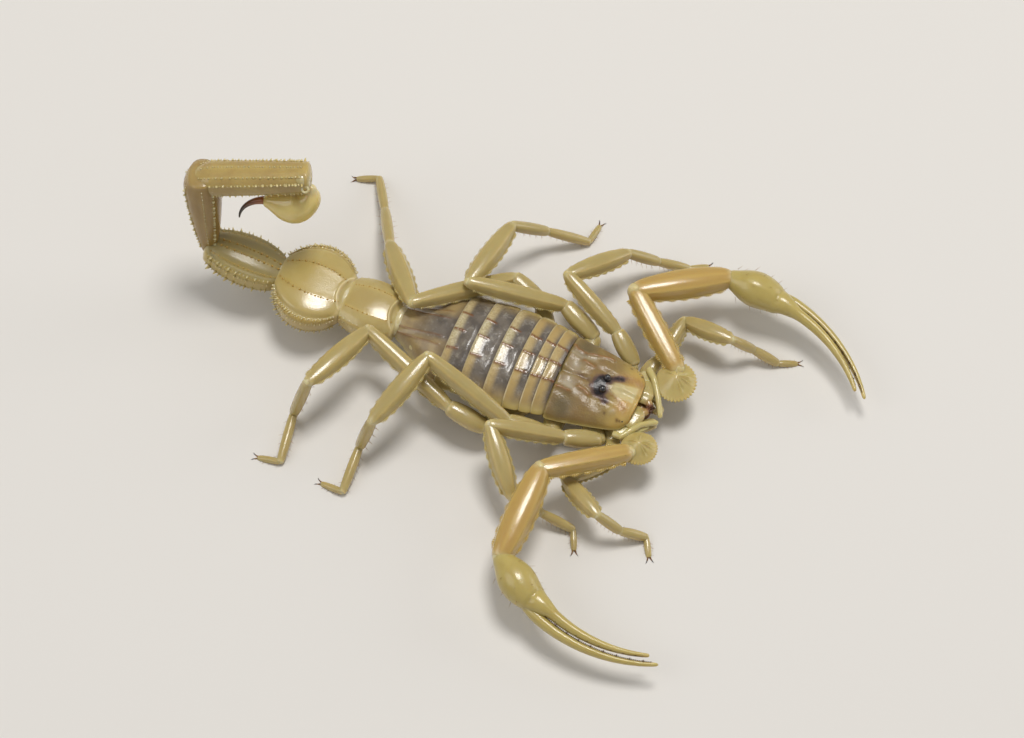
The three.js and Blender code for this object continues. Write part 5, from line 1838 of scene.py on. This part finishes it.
# %% The soft end of the tail, with the round vent
def ring_knob(name, local, radius, tube):
    """A pleated ring of soft skin."""
    knob = new_piece(
        name, bpy.ops.mesh.primitive_torus_add, major_segments=32, minor_segments=14,
        major_radius=radius, minor_radius=tube,
    )
    x, y, z = points_of(knob).T
    turn = np.arctan2(y, x)
    pleat = 1 + 0.06 * np.sin(11 * turn)
    move_points(knob, np.stack([x * pleat, y * pleat, 1.15 * z], axis=1))
    return settle(knob, local, fold_finish, "honey_shell")


end_patch = drawn_blank(
    "tail_end_membrane",
    [(10.5, 0.5, 0.7, -0.3), (10.7, 0.8, 1.0, -0.3), (11.8, 1.2, 1.25, -0.3), (12.9, 1.28, 1.28, -0.3),
     (13.5, 1.1, 1.05, -0.25), (13.7, 0.5, 0.5, -0.2)],
    20,
)
settle(end_patch, tail_frames[4] @ Matrix.Translation((-0.85, 0, 0)), end_skin_finish, "honey_shell")
vent_tilt = Matrix.Rotation(math.radians(-12), 4, "X") @ Matrix.Rotation(math.radians(55), 4, "Y")
ring_knob("tail_vent_ring", tail_frames[4] @ Matrix.Translation((-2.1, 13.1, 0.0)) @ vent_tilt, 0.38, 0.15)

# %% [markdown]
# ## The sting
#
# The last piece of the tail is a smooth lemon-yellow bulb that holds the venom, folded back under
# the fifth length, and from it curves the sting, reddish at its root and black at its point. Both
# are drawn straight and then bent onto a curve.

# %% Bulb and sting
END = TAIL[4]["length"]
BULB = 2.45
BULB_DEPTH = TAIL[4]["height"] / 2 + 0.3 + BULB
bulb_line = (
    (0.95, -2.9, 0.62), (0.9, -2.5, 0.72), (0.75, -1.7, 1.25), (0.1, -0.6, 1.85), (-1.1, 0.0, 2.45),
    (-2.5, -0.1, 2.28), (-3.8, -0.45, 1.6), (-4.7, -0.65, 1.02), (-5.2, -0.72, 0.78),
)
bulb_path = [(0, END + y, BULB_DEPTH + z) for y, z, _ in bulb_line]
steps = np.linalg.norm(np.diff(np.array(bulb_path), axis=0), axis=1)
bulb_at = np.concatenate([[0], np.cumsum(steps)]) / steps.sum()
fine_at = np.linspace(0, 1, 17)


def smooth_values(at, values):
    """Cubic interpolation, so that the bulb has no corners where its stations lie."""
    at, values = np.array(at), np.array(values, float)
    slopes = np.gradient(values, at, axis=0)
    found = []
    for t in fine_at:
        i = min(np.searchsorted(at, t, side="right") - 1, len(at) - 2)
        gap = at[i + 1] - at[i]
        s = (t - at[i]) / gap
        found.append(
            (1 + 2 * s) * (1 - s) ** 2 * values[i] + s * (1 - s) ** 2 * gap * slopes[i]
            + s * s * (3 - 2 * s) * values[i + 1] + s * s * (s - 1) * gap * slopes[i + 1]
        )
    return np.array(found)


bulb_smooth = smooth_values(bulb_at, bulb_path)
bulb_radii = smooth_values(bulb_at, [radius for _, _, radius in bulb_line])
bulb_stations = [(-0.04, 0.3, 0.3, 0)]
bulb_stations += [(float(t), float(radius), float(radius), 0) for t, radius in zip(fine_at, bulb_radii)]
bulb_stations.append((1.02, 0.4, 0.4, 0))
bulb = drawn_blank("vesicle_shell", bulb_stations, 24)
y = points_of(bulb)[:, 1]
mark(bulb, along=np.clip(y, 0, 1), joint=1 - fade(y, 0, 0.15))
bend_onto(bulb, bulb_smooth, backs=(1, 0, 0))
settle(bulb, tail_frames[4], vesicle_finish, "vesicle", "telson_vesicle")

STING_CURVE, STING_TURN = 3.4, math.radians(84)  # the radius of its bow, and how far it turns
sting_path = [(0, END - 4.8, BULB_DEPTH - 0.72)]
for i in range(17):
    turn = STING_TURN * (i / 16) ** 1.3
    down = STING_CURVE * (1 - math.cos(turn))
    sting_path.append((0, END - 5.35 - STING_CURVE * math.sin(turn), BULB_DEPTH - 0.75 + down))
sting = horn("aculeus_shell", sting_path, 0.62, 0.1, 12, 2, backs=(1, 0, 0))
settle(sting, tail_frames[4], sting_finish, "sting", "telson_aculeus")

# %% [markdown]
# ## Sizes
#
# The finished animal is meant to keep the size of its frame, so both boxes are printed side by side.

# %% Sizes
visual_low, visual_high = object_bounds()
for label, side_lengths in (("solids:", cad_high - cad_low), ("shells:", visual_high - visual_low)):
    print(label, [round(v * 1000, 1) for v in side_lengths], "mm")
